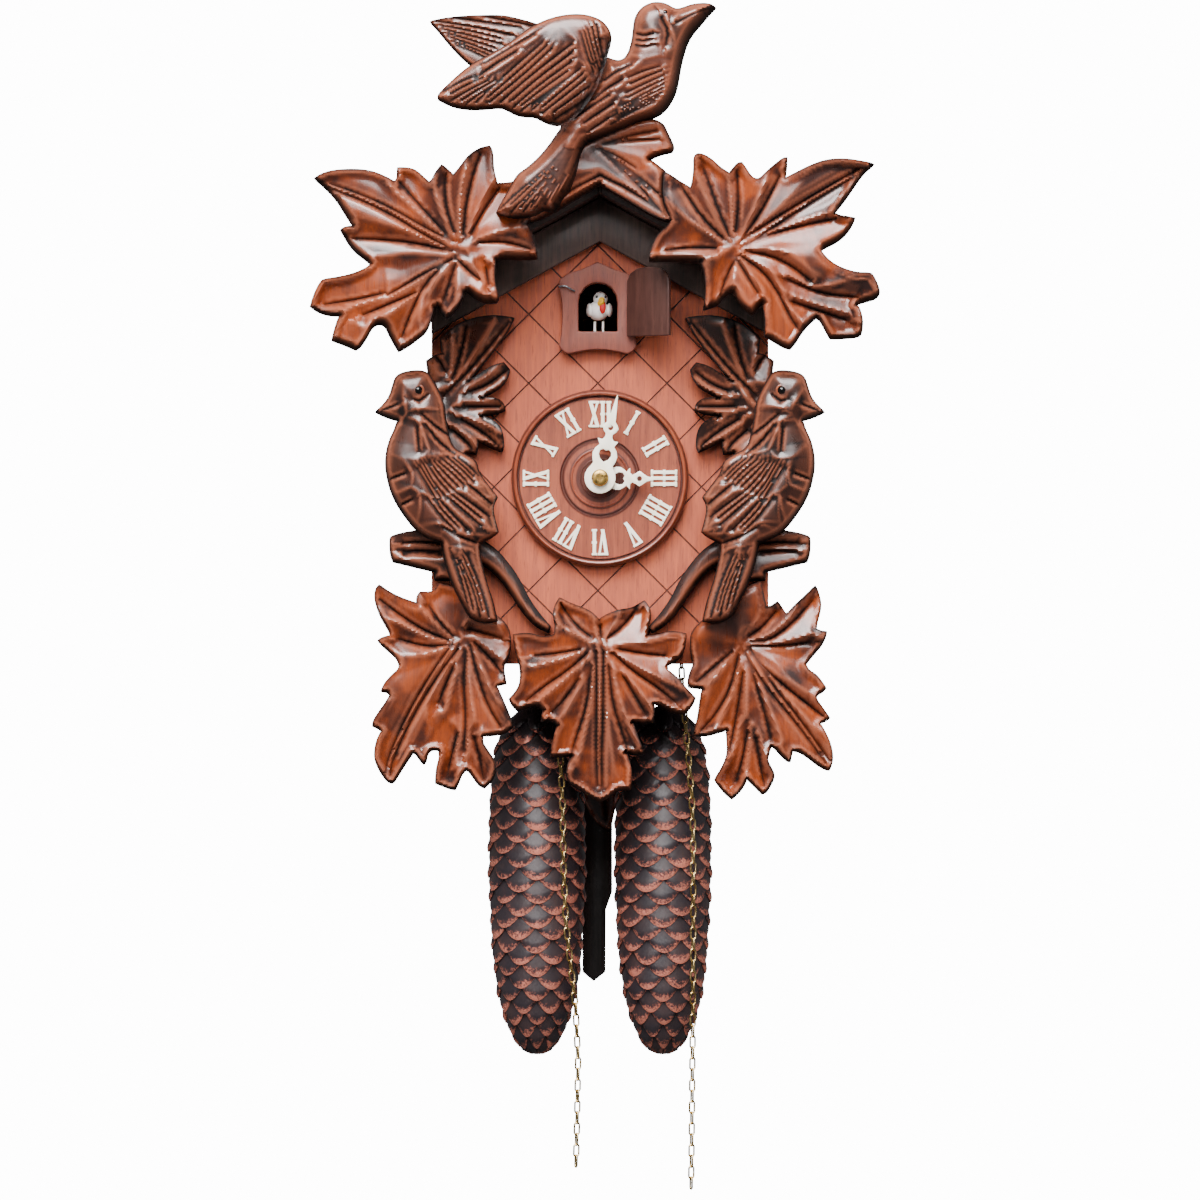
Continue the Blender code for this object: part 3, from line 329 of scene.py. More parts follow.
# The gable board's dark brown is partly its stain and partly painted shade under the roof. The ridge strip
# shares it.
DARK = plain_wood("gable board", rgb(84, 64, 57), rgb(66, 50, 45), rough=0.45, coat=0.3)
DOOR = plain_wood("cuckoo door", rgb(80, 49, 41), rgb(62, 37, 32), rough=0.45, coat=0.2)
RAW = plain_wood("inner boards", rgb(196, 160, 112), rgb(160, 122, 80), rough=0.6, coat=0.0)
ROOF = plain_wood("roof boards", rgb(62, 40, 34), rgb(38, 25, 22), rough=0.4, coat=0.3, along_y=1.0)
BLACK = plain_wood("black rod", rgb(34, 26, 26), rgb(16, 12, 12), rough=0.4, coat=0.3)
woods = (CARVED, CARVED_CROWN, CARVED_BIRD, PANEL, PLAQUE, CASE, DARK, DOOR, RAW, ROOF, BLACK)
print(len(woods), "woods:", [material.name for material in woods])

# %% [markdown]
# ## Metals, plastic and paint
# Rolled brass and drawn steel have a fine tooth and a slight tarnish, which two sizes of noise
# give. Plastic and paint are a little uneven in tone and gloss, from the mould or the brush.

# %% Metal and paint recipes
def metal(name, bright, dull, rough=0.3):
    """Bright metal with a cloudy tarnish."""
    scale = 700.0
    material, tree, shader = shader_of(name)
    spot = add(tree, "ShaderNodeTexCoord").outputs["Object"]
    cloudy = noise(tree, spot, scale * 0.12, 3.0)
    fine = noise(tree, spot, scale, 4.0)
    tone = blend_colours(tree, band(tree, cloudy, 0.35, 0.7), bright, dull)
    tree.links.new(tone, shader.inputs["Base Color"])
    tree.links.new(band(tree, fine, 0.25, 0.75, rough - 0.08, rough + 0.14), shader.inputs["Roughness"])
    tree.links.new(relief_normal(tree, fine, 0.08), shader.inputs["Normal"])
    shader.inputs["Metallic"].default_value = 1.0
    return material


def painted(name, light, dark, rough=0.4, scale=500.0, relief=0.08):
    """Paint, plastic or cloth between two close tones."""
    material, tree, shader = shader_of(name)
    spot = add(tree, "ShaderNodeTexCoord").outputs["Object"]
    cloudy = noise(tree, spot, scale, 3.0)
    tree.links.new(blend_colours(tree, band(tree, cloudy, 0.35, 0.7), light, dark),
                   shader.inputs["Base Color"])
    tree.links.new(band(tree, cloudy, 0.2, 0.8, rough - 0.05, rough + 0.1), shader.inputs["Roughness"])
    tree.links.new(relief_normal(tree, cloudy, relief), shader.inputs["Normal"])
    return material


print("metal and paint recipes ready")


# %% [markdown]
# ## Lacquered iron
# The weights are cast iron under a dark lacquer, dry-brushed with copper. A dry brush reaches only
# what stands out, so the mesh marks the scales' lips and two noises break the copper up. The copper
# is a pale pink that also paints the highlight on each lip.

# %% Lacquered iron
def cast_cone(name):
    """Dark lacquer with copper brushed over the scales' lips, pale enough to paint their highlight too."""
    material, tree, shader = shader_of(name)
    spot = add(tree, "ShaderNodeTexCoord").outputs["Object"]
    grit = noise(tree, spot, 900.0, 5.0, 0.7)
    patch = noise(tree, spot, 90.0, 3.0)
    lip = add(tree, "ShaderNodeAttribute", {"attribute_name": "lip"}).outputs["Fac"]
    brushed = math_node(tree, "ADD", lip, band(tree, grit, 0.3, 0.7, -0.32, 0.18))
    brushed = math_node(tree, "ADD", brushed, band(tree, patch, 0.3, 0.7, -0.2, 0.15))
    share = band(tree, brushed, 0.35, 0.95)
    ground = blend_colours(tree, band(tree, patch, 0.35, 0.65), rgb(34, 29, 33), rgb(46, 35, 36))
    # The lips' pale pink is partly dry-brushed copper and partly a painted highlight.
    tree.links.new(blend_colours(tree, share, ground, rgb(228, 138, 116)), shader.inputs["Base Color"])
    tree.links.new(math_node(tree, "MULTIPLY", share, 0.55), shader.inputs["Metallic"])
    tree.links.new(band(tree, grit, 0.2, 0.8, 0.28, 0.44), shader.inputs["Roughness"])
    tree.links.new(relief_normal(tree, grit, 0.35), shader.inputs["Normal"])
    return material


CONE = cast_cone("cast fir cone")
print("lacquered iron made")

# %% [markdown]
# ## The clock's metals and paints
# The plates and wheels are brass, the chain's wire is a paler brass, and levers, wires and hooks
# are steel. Hands and numerals are ivory plastic, and the cuckoo is painted in four colours.

# %% The clock's metals and paints
BRASS = metal("rolled brass", rgb(214, 176, 98), rgb(198, 160, 86))
LINK_BRASS = metal("chain brass", rgb(226, 200, 140), rgb(186, 156, 96), rough=0.26)
STEEL = metal("drawn steel", rgb(168, 168, 172), rgb(128, 128, 134), rough=0.32)
IVORY = painted("ivory plastic", rgb(253, 249, 232), rgb(247, 240, 214), rough=0.32, scale=160.0)
WHITE = painted("white bird paint", rgb(238, 236, 230), rgb(214, 212, 208), rough=0.45)
YELLOW = painted("yellow beak paint", rgb(236, 186, 40), rgb(220, 160, 30), rough=0.4)
RED = painted("red throat paint", rgb(196, 34, 28), rgb(170, 26, 22), rough=0.4)
INK = painted("black paint", rgb(26, 24, 26), rgb(14, 13, 14), rough=0.3)
AMBER = painted("rubbed eye rim", rgb(150, 76, 42), rgb(104, 50, 32), rough=0.35)
GLASS_EYE = painted("black glass eye", rgb(10, 9, 9), rgb(6, 5, 5), rough=0.08, relief=0.0)
BELLOWS_CLOTH = painted("bellows cloth", rgb(206, 198, 180), rgb(180, 168, 146), rough=0.8,
                        scale=900.0, relief=0.4)
print("metal and paint materials made")


# %% [markdown]
# ## Reading an outline
# The CAD holds each carving as a slab with the right outline. The carving starts where the carver
# does, with that outline: the slab's front face is found in the mesh, and its border is walked
# round. An edge that two triangles share isn't on the border, so such pairs cancel out.

# %% Reading an outline
def front_outline(node):
    """The border of a slab's front face, as (x, z) in millimetres, with the slab's front and back."""
    mesh = frame["nodes"][node].data
    corners = np.array([v.co for v in mesh.vertices]) * 1000.0
    corners[:, 2] -= DIAL_Z * 1000.0
    front = corners[:, 1].min()
    key = [(round(float(c[0]), 2), round(float(c[2]), 2)) for c in corners]
    border = {}
    for face in mesh.polygons:
        if all(abs(corners[i][1] - front) < 0.01 for i in face.vertices):
            ring = [key[i] for i in face.vertices]
            for one, two in zip(ring, ring[1:] + ring[:1]):
                if (two, one) in border:
                    del border[(two, one)]
                else:
                    border[(one, two)] = True
    follow = dict(border.keys())
    loop = [next(iter(follow))]
    while follow.get(loop[-1]) not in (loop[0], None):
        loop.append(follow[loop[-1]])
    return np.array(loop), front, corners[:, 1].max()


print("outline of a leaf:", len(front_outline("leaf_bottom")[0]), "points")


# %% [markdown]
# ## Easing an outline
# A knife doesn't turn corners in short straight steps, so each blunt corner is cut off twice and
# the line becomes a curve. Leaf tips turn sharply, and they are left as they are. Then the line
# gets points at even steps, for the small triangles that fill it.

# %% Easing an outline
def rounded(points, closed=True, rounds=2, sharp=52.0):
    """Cut off the corners, and leave any that turn by more than sharp degrees."""
    for _ in range(rounds):
        out = []
        count = len(points)
        for i, here in enumerate(points):
            if not closed and i in (0, count - 1):
                out.append(here)
                continue
            before, after = points[i - 1], points[(i + 1) % count]
            one, two = here - before, after - here
            turn = math.degrees(math.acos(np.clip(
                one @ two / (np.linalg.norm(one) * np.linalg.norm(two) + 1e-9), -1.0, 1.0)))
            if turn > sharp:
                out.append(here)
            else:
                out += [here - one * 0.25, here + two * 0.25]
        points = np.array(out)
    return points


def spaced(points, step, closed=True):
    """Points no further apart than a step."""
    out = []
    pairs = list(zip(points, np.roll(points, -1, axis=0)))
    for one, two in pairs if closed else pairs[:-1]:
        parts = max(1, int(math.ceil(np.linalg.norm(two - one) / step)))
        out += [one + (two - one) * i / parts for i in range(parts)]
    if not closed:
        out.append(points[-1])
    return np.array(out)


square = np.array([(0.0, 0.0), (10.0, 0.0), (10.0, 10.0), (0.0, 10.0)])
print("a square's border in 2 mm steps:", len(spaced(square, 2.0)), "points")


# %% [markdown]
# ## Near and inside
# Two questions are asked of every point on a carving's face: how far it is from a line, such as
# the edge or a cut, and whether it lies inside the outline.

# %% Near and inside
def distance(spots, lines):
    """Each spot's distance to the nearest of some segments, and that segment's index."""
    best = np.full(len(spots), 1e9)
    which = np.zeros(len(spots), int)
    for index, (one, two) in enumerate(lines):
        along = two - one
        share = np.clip(((spots - one) @ along) / (along @ along + 1e-12), 0.0, 1.0)
        away = np.linalg.norm(spots - one - share[:, None] * along, axis=1)
        near = away < best
        best[near] = away[near]
        which[near] = index
    return best, which


def inside(spots, loop):
    """True for the spots inside a loop: a line to the right crosses it an odd number of times."""
    hit = np.zeros(len(spots), bool)
    for (ax, az), (bx, bz) in zip(loop, np.roll(loop, -1, axis=0)):
        crosses = (az > spots[:, 1]) != (bz > spots[:, 1])
        if crosses.any():
            cut = (bx - ax) * (spots[:, 1] - az) / (bz - az + 1e-12) + ax
            hit ^= crosses & (spots[:, 0] < cut)
    return hit


print("the square's middle is inside:", bool(inside(np.array([(5.0, 5.0)]), square)[0]))


# %% [markdown]
# ## Carving a slab
# A carving could be sculpted by hand, but its rules are simple: wood falls away in a curve towards
# the edge, each vein or feather is a V cut, and the wood between two cuts swells. So the slab's
# face is filled with small triangles whose edges follow the cuts, which keeps a cut crisp, and
# each point's depth can then be worked out from its distance to the edge and to the nearest cut.

# %% Filling a face
def fill(loop, cuts, step):
    """Triangles inside a loop, with the cuts as edges. Gives points, triangles and the loop's order."""
    low, high = loop.min(0), loop.max(0)
    rows = int((high[1] - low[1]) / (step * 0.87)) + 1
    columns = int((high[0] - low[0]) / step) + 1
    grid = np.array([(low[0] + (column + 0.5 * (row % 2)) * step, low[1] + row * step * 0.87)
                     for row in range(rows) for column in range(columns)])
    rim = list(zip(loop, np.roll(loop, -1, axis=0)))
    keep = inside(grid, loop) & (distance(grid, rim)[0] > 0.55 * step)
    lines = [pair for cut in cuts for pair in zip(cut[:-1], cut[1:])]
    if lines:
        keep &= distance(grid, lines)[0] > 0.6 * step
    points = [Vector(p) for p in loop]
    edges = [(i, (i + 1) % len(loop)) for i in range(len(loop))]
    for cut in cuts:
        good = inside(cut, loop) & (distance(cut, rim)[0] > 0.35 * step)
        last = None
        for spot, use in zip(cut, good):
            if use:
                points.append(Vector(spot))
                if last is not None:
                    edges.append((last, len(points) - 1))
            last = len(points) - 1 if use else None
    points += [Vector(p) for p in grid[keep]]
    verts, _, faces, origin, _, _ = delaunay_2d_cdt(points, edges, [], 1, 1e-4)
    order = {}
    for index, sources in enumerate(origin):
        for source in sources:
            order[source] = index
    return np.array([tuple(v) for v in verts]), faces, [order[i] for i in range(len(loop))]


print("the square filled in 2 mm steps:", len(fill(spaced(square, 2.0), [], 2.0)[1]), "triangles")


# %% [markdown]
# ## A carving's border
# A carver cuts a broad chamfer where an edge faces down and only eases an edge that faces up. A
# wing that lies on a bird's back is cut down to nothing there, so that both read as one piece. So
# each point of the outline is asked which way it faces, and whether it lies where it should melt.

# %% A carving's border
def facing(loop):
    """The way that each point of an outline faces, out of the wood."""
    turn = np.roll(loop, -1, axis=0) - np.roll(loop, 1, axis=0)
    out = np.stack([turn[:, 1], -turn[:, 0]], axis=1) / np.linalg.norm(turn, axis=1)[:, None]
    area = np.sum(loop[:, 0] * np.roll(loop[:, 1], -1) - np.roll(loop[:, 0], -1) * loop[:, 1])
    return out * math.copysign(1.0, area)


def smoothed(values, reach):
    """Each value's mean with its neighbours along the outline."""
    return sum(np.roll(values, k) for k in range(-reach, reach + 1)) / (2.0 * reach + 1.0)


def within(loop, box):
    """1 for each point that lies in a box of (x, z, x, z), and 0 elsewhere."""
    if box is None:
        return np.zeros(len(loop))
    x0, z0, x1, z1 = box
    return ((loop[:, 0] > x0) & (loop[:, 0] < x1) & (loop[:, 1] > z0) & (loop[:, 1] < z1)) * 1.0


print("the square's first corner faces", facing(square)[0].round(2))


# %% [markdown]
# ## Heights
# The face stands at its full height inside and rolls over towards the edge, like a chamfer cut
# with a gouge. Between two cuts the wood rises to a ridge nearer one of them, as a leaf does
# between its veins. A cut fades at both its ends, and where cuts crowd together.

# %% Heights
MELT_REACH = 8.0
TIGHT_GAP = 3.6


def shoulder(away, below, soft, full, edge, chamfer_width, round_off):
    """The height over the back before any cut, by the distance from the edge."""
    share = np.clip(away / chamfer_width, 0.0, 1.0)
    border = full * (edge - 0.56 * below) * (1.0 - soft) + 0.6 * soft
    height = border + (full - border) * (1.0 - (1.0 - share) ** (1.5 + soft))
    if round_off:
        roll = np.clip(away / round_off, 0.0, 1.0)
        height -= full * 0.55 * (1.0 - np.sqrt(1.0 - (1.0 - roll) ** 2))
    return height


def among_cuts(face, runs, wide_gap):
    """Each point's distance to the nearest cut, that cut's strength there, the point's place
    between two cuts from 0 to 1, and how much room there is between them."""
    gaps = np.stack([distance(face, list(zip(run[:-1], run[1:])))[0] for run in runs])
    owner = gaps.argmin(0)
    near = gaps.min(0)
    far = np.partition(gaps, 1, axis=0)[1]
    side, thin = np.ones(len(face)), np.ones(len(face))
    for index, run in enumerate(runs):
        mine = owner == index
        _, which = distance(face[mine], list(zip(run[:-1], run[1:])))
        along = (run[1:] - run[:-1])[which]
        off = face[mine] - run[:-1][which]
        side[mine] = np.sign(along[:, 0] * off[:, 1] - along[:, 1] * off[:, 0])
        share = np.clip((which + 0.5) / (len(run) - 1.0), 0.0, 1.0)
        thin[mine] = 0.45 + 0.55 * np.sin(np.pi * share) ** 0.6
    thin *= np.clip((near + far) / TIGHT_GAP, 0.3, 1.0)
    place = near / (near + far + 1e-6)
    place = np.where(side > 0, place, 1.0 - place)
    return near, thin, place, np.clip((near + far) / wide_gap, 0.0, 1.0)


print("cuts closer than", TIGHT_GAP, "mm are cut more shallow")


# %% [markdown]
# ## From heights to wood
# The front and the flat back are joined round the outline into one closed piece. It is shaded
# smooth, but its outline and its steepest creases stay crisp. New pieces are linked to the scene
# in one place, so that every piece below starts in the same way.

# %% From heights to wood
BACK_GAP = -0.15
REAR_STEP = 4.5


def placed(name, data):
    """A new object in the scene."""
    piece = bpy.data.objects.new(name, data)
    bpy.context.scene.collection.objects.link(piece)
    return piece


def outward(mesh):
    """Turn every face outwards."""
    work = bmesh.new()
    work.from_mesh(mesh)
    bmesh.ops.recalc_face_normals(work, faces=work.faces[:])
    work.to_mesh(mesh)
    work.free()


def neighbours(ring):
    """Each point of a ring with the next."""
    return list(zip(ring, ring[1:] + ring[:1]))


def solid(name, front, rear, height, rear_height, back):
    """A closed mesh from a filled front and a filled rear, each with its heights."""
    (face, triangles, front_ring), (flat, flat_triangles, rear_ring) = front, rear
    verts = [at(x, back - h, z) for (x, z), h in zip(face, height)]
    verts += [at(x, back - h, z) for (x, z), h in zip(flat, rear_height)]
    base = len(face)
    faces = [tuple(t) for t in triangles]
    faces += [tuple(base + i for i in reversed(t)) for t in flat_triangles]
    for (one, two), (three, four) in zip(neighbours(front_ring), neighbours(rear_ring)):
        faces.append((one, two, base + four, base + three))
    mesh = bpy.data.meshes.new(name)
    mesh.from_pydata(verts, [], faces)
    outward(mesh)
    return mesh


def crisp(mesh, ring):
    """Smooth shading, with sharp creases and a sharp outline."""
    mesh.shade_smooth()
    mesh.set_sharp_from_angle(angle=math.radians(42.0))
    outline = {frozenset(pair) for pair in neighbours(ring)}
    for line in mesh.edges:
        if frozenset(line.vertices) in outline:
            line.use_edge_sharp = True


print("a carving's back stands", -BACK_GAP, "mm proud of the slab's back")


# %% [markdown]
# ## Masks for the stain and the painted light
# The stain stays in the cuts and at the edges, and the rag takes it off whatever stands above its
# neighbours. The edge mask also widens into painted shade where an edge faces down. The mask of what
# stands above its neighbours is also a painted highlight. The tone mask paints the broad side of
# each ridge lighter, as if lit. Each of these is a value between 0 and 1 at every point of the mesh.

# %% Masks for the stain
def rise_above(mesh, level, count):
    """How far each of the first points stands above the mean of its neighbours."""
    pairs = np.array([line.vertices[:] for line in mesh.edges if max(line.vertices) < count])
    mean = level.copy()
    for _ in range(2):
        sums, counts = np.zeros(len(level)), np.zeros(len(level))
        for one, two in ((0, 1), (1, 0)):
            np.add.at(sums, pairs[:, one], mean[pairs[:, two]])
            np.add.at(counts, pairs[:, one], 1.0)
        mean = sums / np.maximum(counts, 1.0)
    return (level - mean)[:count]


def add_masks(mesh, masks):
    """Put each mask on the mesh, from its values on the front and on the rear."""
    for label, (front, rear) in masks.items():
        layer = mesh.attributes.new(label, "FLOAT", "POINT")
        layer.data.foreach_set("value", np.concatenate([front, rear]).astype(np.float32))


print("masks ready")


# %% [markdown]
# ## The carver
# One function now carves any slab: it eases the outline, fills it, works out the heights and the
# masks, and puts the finished piece in the CAD slab's place.

# %% The carver
def carve(name, node, cuts, material, body="case", edge=1.0, ridge=4.2, groove=1.5,
          under=(0.0, -1.0), chamfer=3.4, peak=0.3, wide_gap=12.0, sway=None, round_off=0.0,
          step=1.15, width=0.62, grow=0.45, blend_in=None):
    """Carve a slab. edge is the border's share of the thickness, ridge and groove the height
    between cuts and the depth of a cut, under the way that the broad chamfer and its painted shade
    face, sway a function for broad shape, and blend_in a box where the border melts into what is behind."""
    loop, front, back = front_outline(node)
    loop = spaced(rounded(loop), step * 1.1)
    out = facing(loop)
    loop = loop + out * grow
    low_side = smoothed(np.clip(0.1 + out @ np.array(under), 0.0, 1.0), 2)
    melt = smoothed(within(loop, blend_in), 3)
    rim = list(zip(loop, np.roll(loop, -1, axis=0)))
    runs = [spaced(rounded(np.array(cut, float), closed=False, rounds=1), step * 0.8, closed=False)
            for cut in cuts]
    filled, filled_rear = fill(loop, runs, step), fill(loop, [], REAR_STEP)
    face, rear = filled[0], filled_rear[0]

    away, nearest = distance(face, rim)
    below, soft = low_side[nearest], melt[nearest]
    chamfer_width = 0.4 + chamfer * below + MELT_REACH * soft
    full = back - front - ridge * 0.8
    height = shoulder(away, below, soft, full, edge, chamfer_width, round_off)
    near, thin, place, room = among_cuts(face, runs, wide_gap)
    slope = np.where(place < peak, place / peak, (1.0 - place) / (1.0 - peak))
    height += ridge * (slope ** 1.35 - 0.3) * room * np.clip(away / 3.0, 0.75, 1.0)
    if sway is not None:
        height += sway(face[:, 0], face[:, 1]) * np.clip(away / 4.0, 0.4, 1.0)
    height -= groove * thin * np.exp(-(near / (width * thin ** 0.5)) ** 2)
    height = np.clip(height, 0.8, back - front + 3.0)
    rear_height = np.full(len(rear), BACK_GAP)

    mesh = solid(name, filled, filled_rear, height, rear_height, back)
    piece = placed(name, mesh)
    rise = rise_above(mesh, np.concatenate([height, rear_height]), len(face))
    # The rim's dark band is as wide as the chamfer. It is a thin line of stain where an edge faces up, and
    # painted shade over the broad chamfer where the edge faces down.
    rim_stain_and_shade_width = 0.75 * (chamfer_width - MELT_REACH * soft)
    none = np.zeros(len(rear))
    add_masks(mesh, {
        "cut": (np.exp(-(near / (width * 1.1 * thin ** 0.5)) ** 2) * thin ** 0.4, none),
        # rim: edge stain and painted shade under the carving; on the back it darkens towards the edge
        "rim": (np.exp(-(away / rim_stain_and_shade_width) ** 3.0) * (1.0 - soft),
                np.clip(1.0 - distance(rear, rim)[0] / 3.0, 0.2, 0.9)),
        # what stands above its neighbours: rubbed bare, and painted as a highlight
        "rub_and_sheen": (np.clip(rise * 3.5, 0.0, 1.0) * np.clip(away / 1.2, 0.0, 1.0), none),
        # tone: painted light, 1 on the broad side of each ridge as if lit, 0 on its steep side as in shade
        "tone": (np.clip((place - peak) / 0.25, 0.0, 1.0) * room, none),
    })
    crisp(mesh, filled[2])
    mesh.materials.append(material)
    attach(piece, body)
    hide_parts(node)
    print(name, len(mesh.polygons), "faces")
    return piece


print("the carver is ready")


# %% [markdown]
# ## Broad shapes and strokes
# A leaf isn't flat: it dips round its stem and its lobes tilt in turn. A midrib is two cuts with a
# ridge between them, and a wing has a finer stroke between each two main ones. Carvings come in
# pairs, so the cuts of one side are mirrored for the other.

# %% Broad shapes and strokes
def lobed(centre, lobes, depth, phase=0.0, drop=5.0, radius=60.0):
    """A leaf's broad shape: it dips round its centre, its lobes tilt in turn, and its tips curl back."""
    def shape(x, z):
        dx, dz = x - centre[0], z - centre[1]
        far = np.hypot(dx, dz)
        turn = np.arctan2(dz, dx)
        wave = depth * np.sin(lobes * turn + phase) * np.clip(far / (radius * 0.6), 0.0, 1.0)
        dip = -2.2 * np.exp(-(far / 12.0) ** 2)
        return wave + dip - drop * np.clip(far / radius, 0.0, 1.3) ** 2
    return shape


def mirror(cuts):
    """The same cuts on the clock's other side."""
    return [[(-x, z) for x, z in cut] for cut in cuts]


def side_by_side(cut):
    """Two cuts that run side by side and draw together, with a light ridge between them."""
    line = np.array(cut, float)
    along = np.gradient(line, axis=0)
    across = np.stack([-along[:, 1], along[:, 0]], axis=1)
    across /= np.linalg.norm(across, axis=1)[:, None]
    taper = np.linspace(1.0, 0.6, len(line))[:, None]
    offset = across * 1.7 * taper
    return [(line + offset).tolist(), (line - offset).tolist()]


def finer(cuts, reach=9.0):
    """The cuts, with one more stroke between each two neighbours that are within reach."""
    between = []
    for one, two in zip(cuts[:-1], cuts[1:]):
        a, b = np.array(one, float), np.array(two, float)
        if len(a) == len(b) and np.linalg.norm(a - b, axis=1).max() < reach:
            middle = (a + b) / 2.0
            between.append((middle[0] + (middle - middle[0]) * 0.9).tolist())
    return cuts + between


print("two cuts side by side:", len(side_by_side([(0, 0), (5, 1), (10, 0)])))


# %% [markdown]
# ## The upper leaves
# Two big vine leaves hang over the eaves. Every vein is one V cut that starts near the leaf's stem
# and dies out at a lobe's tip. The two leaves are cut freehand, so they aren't mirror images.

# %% Upper leaves
UPPER_LEFT_CUTS = side_by_side([(-68, 106), (-80, 112), (-95, 121), (-110, 128), (-124, 133)]) + [
    [(-68, 108), (-76, 117), (-85, 127), (-92, 135)], [(-67, 112), (-70, 122), (-71, 132), (-70.5, 138)],
    [(-62.5, 111), (-61, 125), (-58, 138), (-54.5, 148)], [(-59, 111), (-53, 122), (-46, 132)],
    [(-55, 107), (-45, 107.5), (-38, 106), (-32, 104)], [(-66, 100), (-60, 94), (-55, 90)],
    [(-52, 95), (-51, 88)], [(-66, 97), (-69, 88), (-72, 79)],
    [(-72, 96), (-80, 88), (-86, 76), (-90.5, 64)], [(-66, 100), (-80, 93), (-90, 87), (-97, 83)],
    [(-68, 103), (-85, 107), (-100, 108.5), (-113, 109)], [(-84, 84), (-96, 79), (-108, 74)],
    [(-98, 84), (-112, 81), (-126, 79)],
]
carve("carved_leaf_upper_left", "leaf_upper_left", UPPER_LEFT_CUTS, CARVED, under=(-0.45, -0.9),
      sway=lobed((-66, 104), 5, 2.2, 0.8))
UPPER_RIGHT_CUTS = side_by_side([(66, 107), (78, 115), (92, 124), (107, 133), (119, 140)]) + [
    [(66, 110), (73, 120), (79, 131), (82, 137)], [(62, 112), (63.5, 125), (63, 135), (62.5, 140)],
    [(59, 110), (54, 122), (50, 134), (47.5, 141)], [(56, 109), (47, 118), (40, 128), (37, 133)],
    [(66, 106), (80, 111.5), (95, 115.5), (108, 118)], [(67, 103), (78, 101), (88, 96), (96, 89.5)],
    [(64, 101), (73, 95), (80, 87), (87, 73), (91, 67)], [(62, 100), (67, 92), (72, 84)],
    [(53, 104.5), (40, 104.8), (30, 103.5)], [(62.5, 100.5), (58, 92), (55, 83)],
    [(86, 90), (100, 84), (118, 82)], [(88, 80), (100, 76), (112, 72)],
]
carve("carved_leaf_upper_right", "leaf_upper_right", UPPER_RIGHT_CUTS, CARVED, under=(0.2, -0.98),
      sway=lobed((63, 106), 5, 2.2, 2.4))
print("upper leaves carved")

# %% [markdown]
# ## The lower leaves
# The lower pair hangs off the corners of the case. Their chamfers are narrower and their lobes
# curl back less, because they lie closer to the eye.

# %% Lower leaves
LOWER_LEFT_CUTS = side_by_side([(-67, -78), (-76, -90), (-88, -110), (-97, -130), (-98, -137)]) + [
    [(-70, -75), (-80, -71), (-90, -65), (-102, -56)], [(-68, -73), (-74, -67), (-79, -59)],
    [(-70, -77), (-80, -78), (-93, -74.5)], [(-68, -88), (-72, -97), (-74.5, -104)],
    [(-62, -80), (-63, -95), (-62, -112), (-63, -126)], [(-60, -77), (-57, -90), (-52, -105), (-46, -115)],
    [(-58, -76), (-50, -84), (-45.5, -90)], [(-60, -70), (-52, -72), (-46, -74)],
    [(-66, -118), (-69, -130), (-71, -139)], [(-58, -120), (-55, -132), (-54, -139)],
]
carve("carved_leaf_lower_left", "leaf_lower_left", LOWER_LEFT_CUTS, CARVED, chamfer=2.2,
      sway=lobed((-63, -73), 5, 2.0, 1.2, drop=4.5))
LOWER_RIGHT_CUTS = side_by_side([(68, -80), (78, -96), (92, -113), (105, -131)]) + [
    [(70, -75.5), (78, -75), (88, -68), (98, -57)], [(69, -73), (75, -69), (81, -62)],
    [(70, -77.5), (85, -77.5), (97, -76)], [(70, -81), (78, -90), (90, -100), (103, -110)],
    [(67, -80), (72, -95), (76, -108), (79, -121)], [(66, -90), (64, -105), (60, -126)],
    [(64, -82), (60, -98), (53, -110), (46.5, -117)], [(61, -80), (53, -87), (45, -94)],
    [(68, -118), (66, -130), (63, -140)], [(72, -120), (74, -132), (76, -142)],
]
carve("carved_leaf_lower_right", "leaf_lower_right", LOWER_RIGHT_CUTS, CARVED, chamfer=2.2,
      sway=lobed((65, -77), 5, 2.0, 0.4, drop=4.5))
print("lower leaves carved")

# %% [markdown]
# ## The bottom leaf
# The middle leaf is nearly the same on both sides, so half its veins are drawn and mirrored. It is
# arched: its top lobes lean back to the case, and its long tip curls under over the pendulum.

# %% Bottom leaf
HALF_BOTTOM = [
    [(4, -73.5), (10, -69), (15, -63), (18, -58)], [(9, -79), (20, -81), (30, -82)],
    [(6, -81), (15, -89), (27, -97), (34, -103)], [(4, -87), (6, -105), (11, -120), (14, -130)],
]
BOTTOM_CUTS = HALF_BOTTOM + mirror(HALF_BOTTOM)
BOTTOM_CUTS += side_by_side([(0, -80), (0, -105), (-0.5, -128), (0, -142)])
BOTTOM_CUTS += [[(11, -92), (17, -102), (21, -109)], [(-10, -93), (-17, -103), (-22, -108)],
                [(0.5, -73), (0, -68)]]


def arched(x, z):
    """Bend back from the leaf's middle: steeply above it, gently below it."""
    rise = z + 84.0
    return -np.where(rise > 0.0, 0.0085, 0.0022) * rise ** 2 - 0.0018 * x ** 2


carve("carved_leaf_bottom", "leaf_bottom", BOTTOM_CUTS, CARVED, chamfer=2.4, sway=arched, ridge=4.0)

# %% [markdown]
# ## The crown's branch
# A bird lands on a branch over the ridge. The branch, the far wing, the body with its tail, and the
# near wing are layers of wood. The branch's leaves have cuts that fan out from the bird's foot.

# %% Branch
def fan(start, ends, bend=0.0, begin=0.12):
    """Cuts that fan out from near one point, each with a slight bend."""
    cuts = []
    for x, z in ends:
        dx, dz = x - start[0], z - start[1]
        first = (start[0] + dx * begin, start[1] + dz * begin)
        middle = (start[0] + dx * 0.55 - dz * bend, start[1] + dz * 0.55 + dx * bend)
        cuts.append([first, middle, (x, z)])
    return cuts


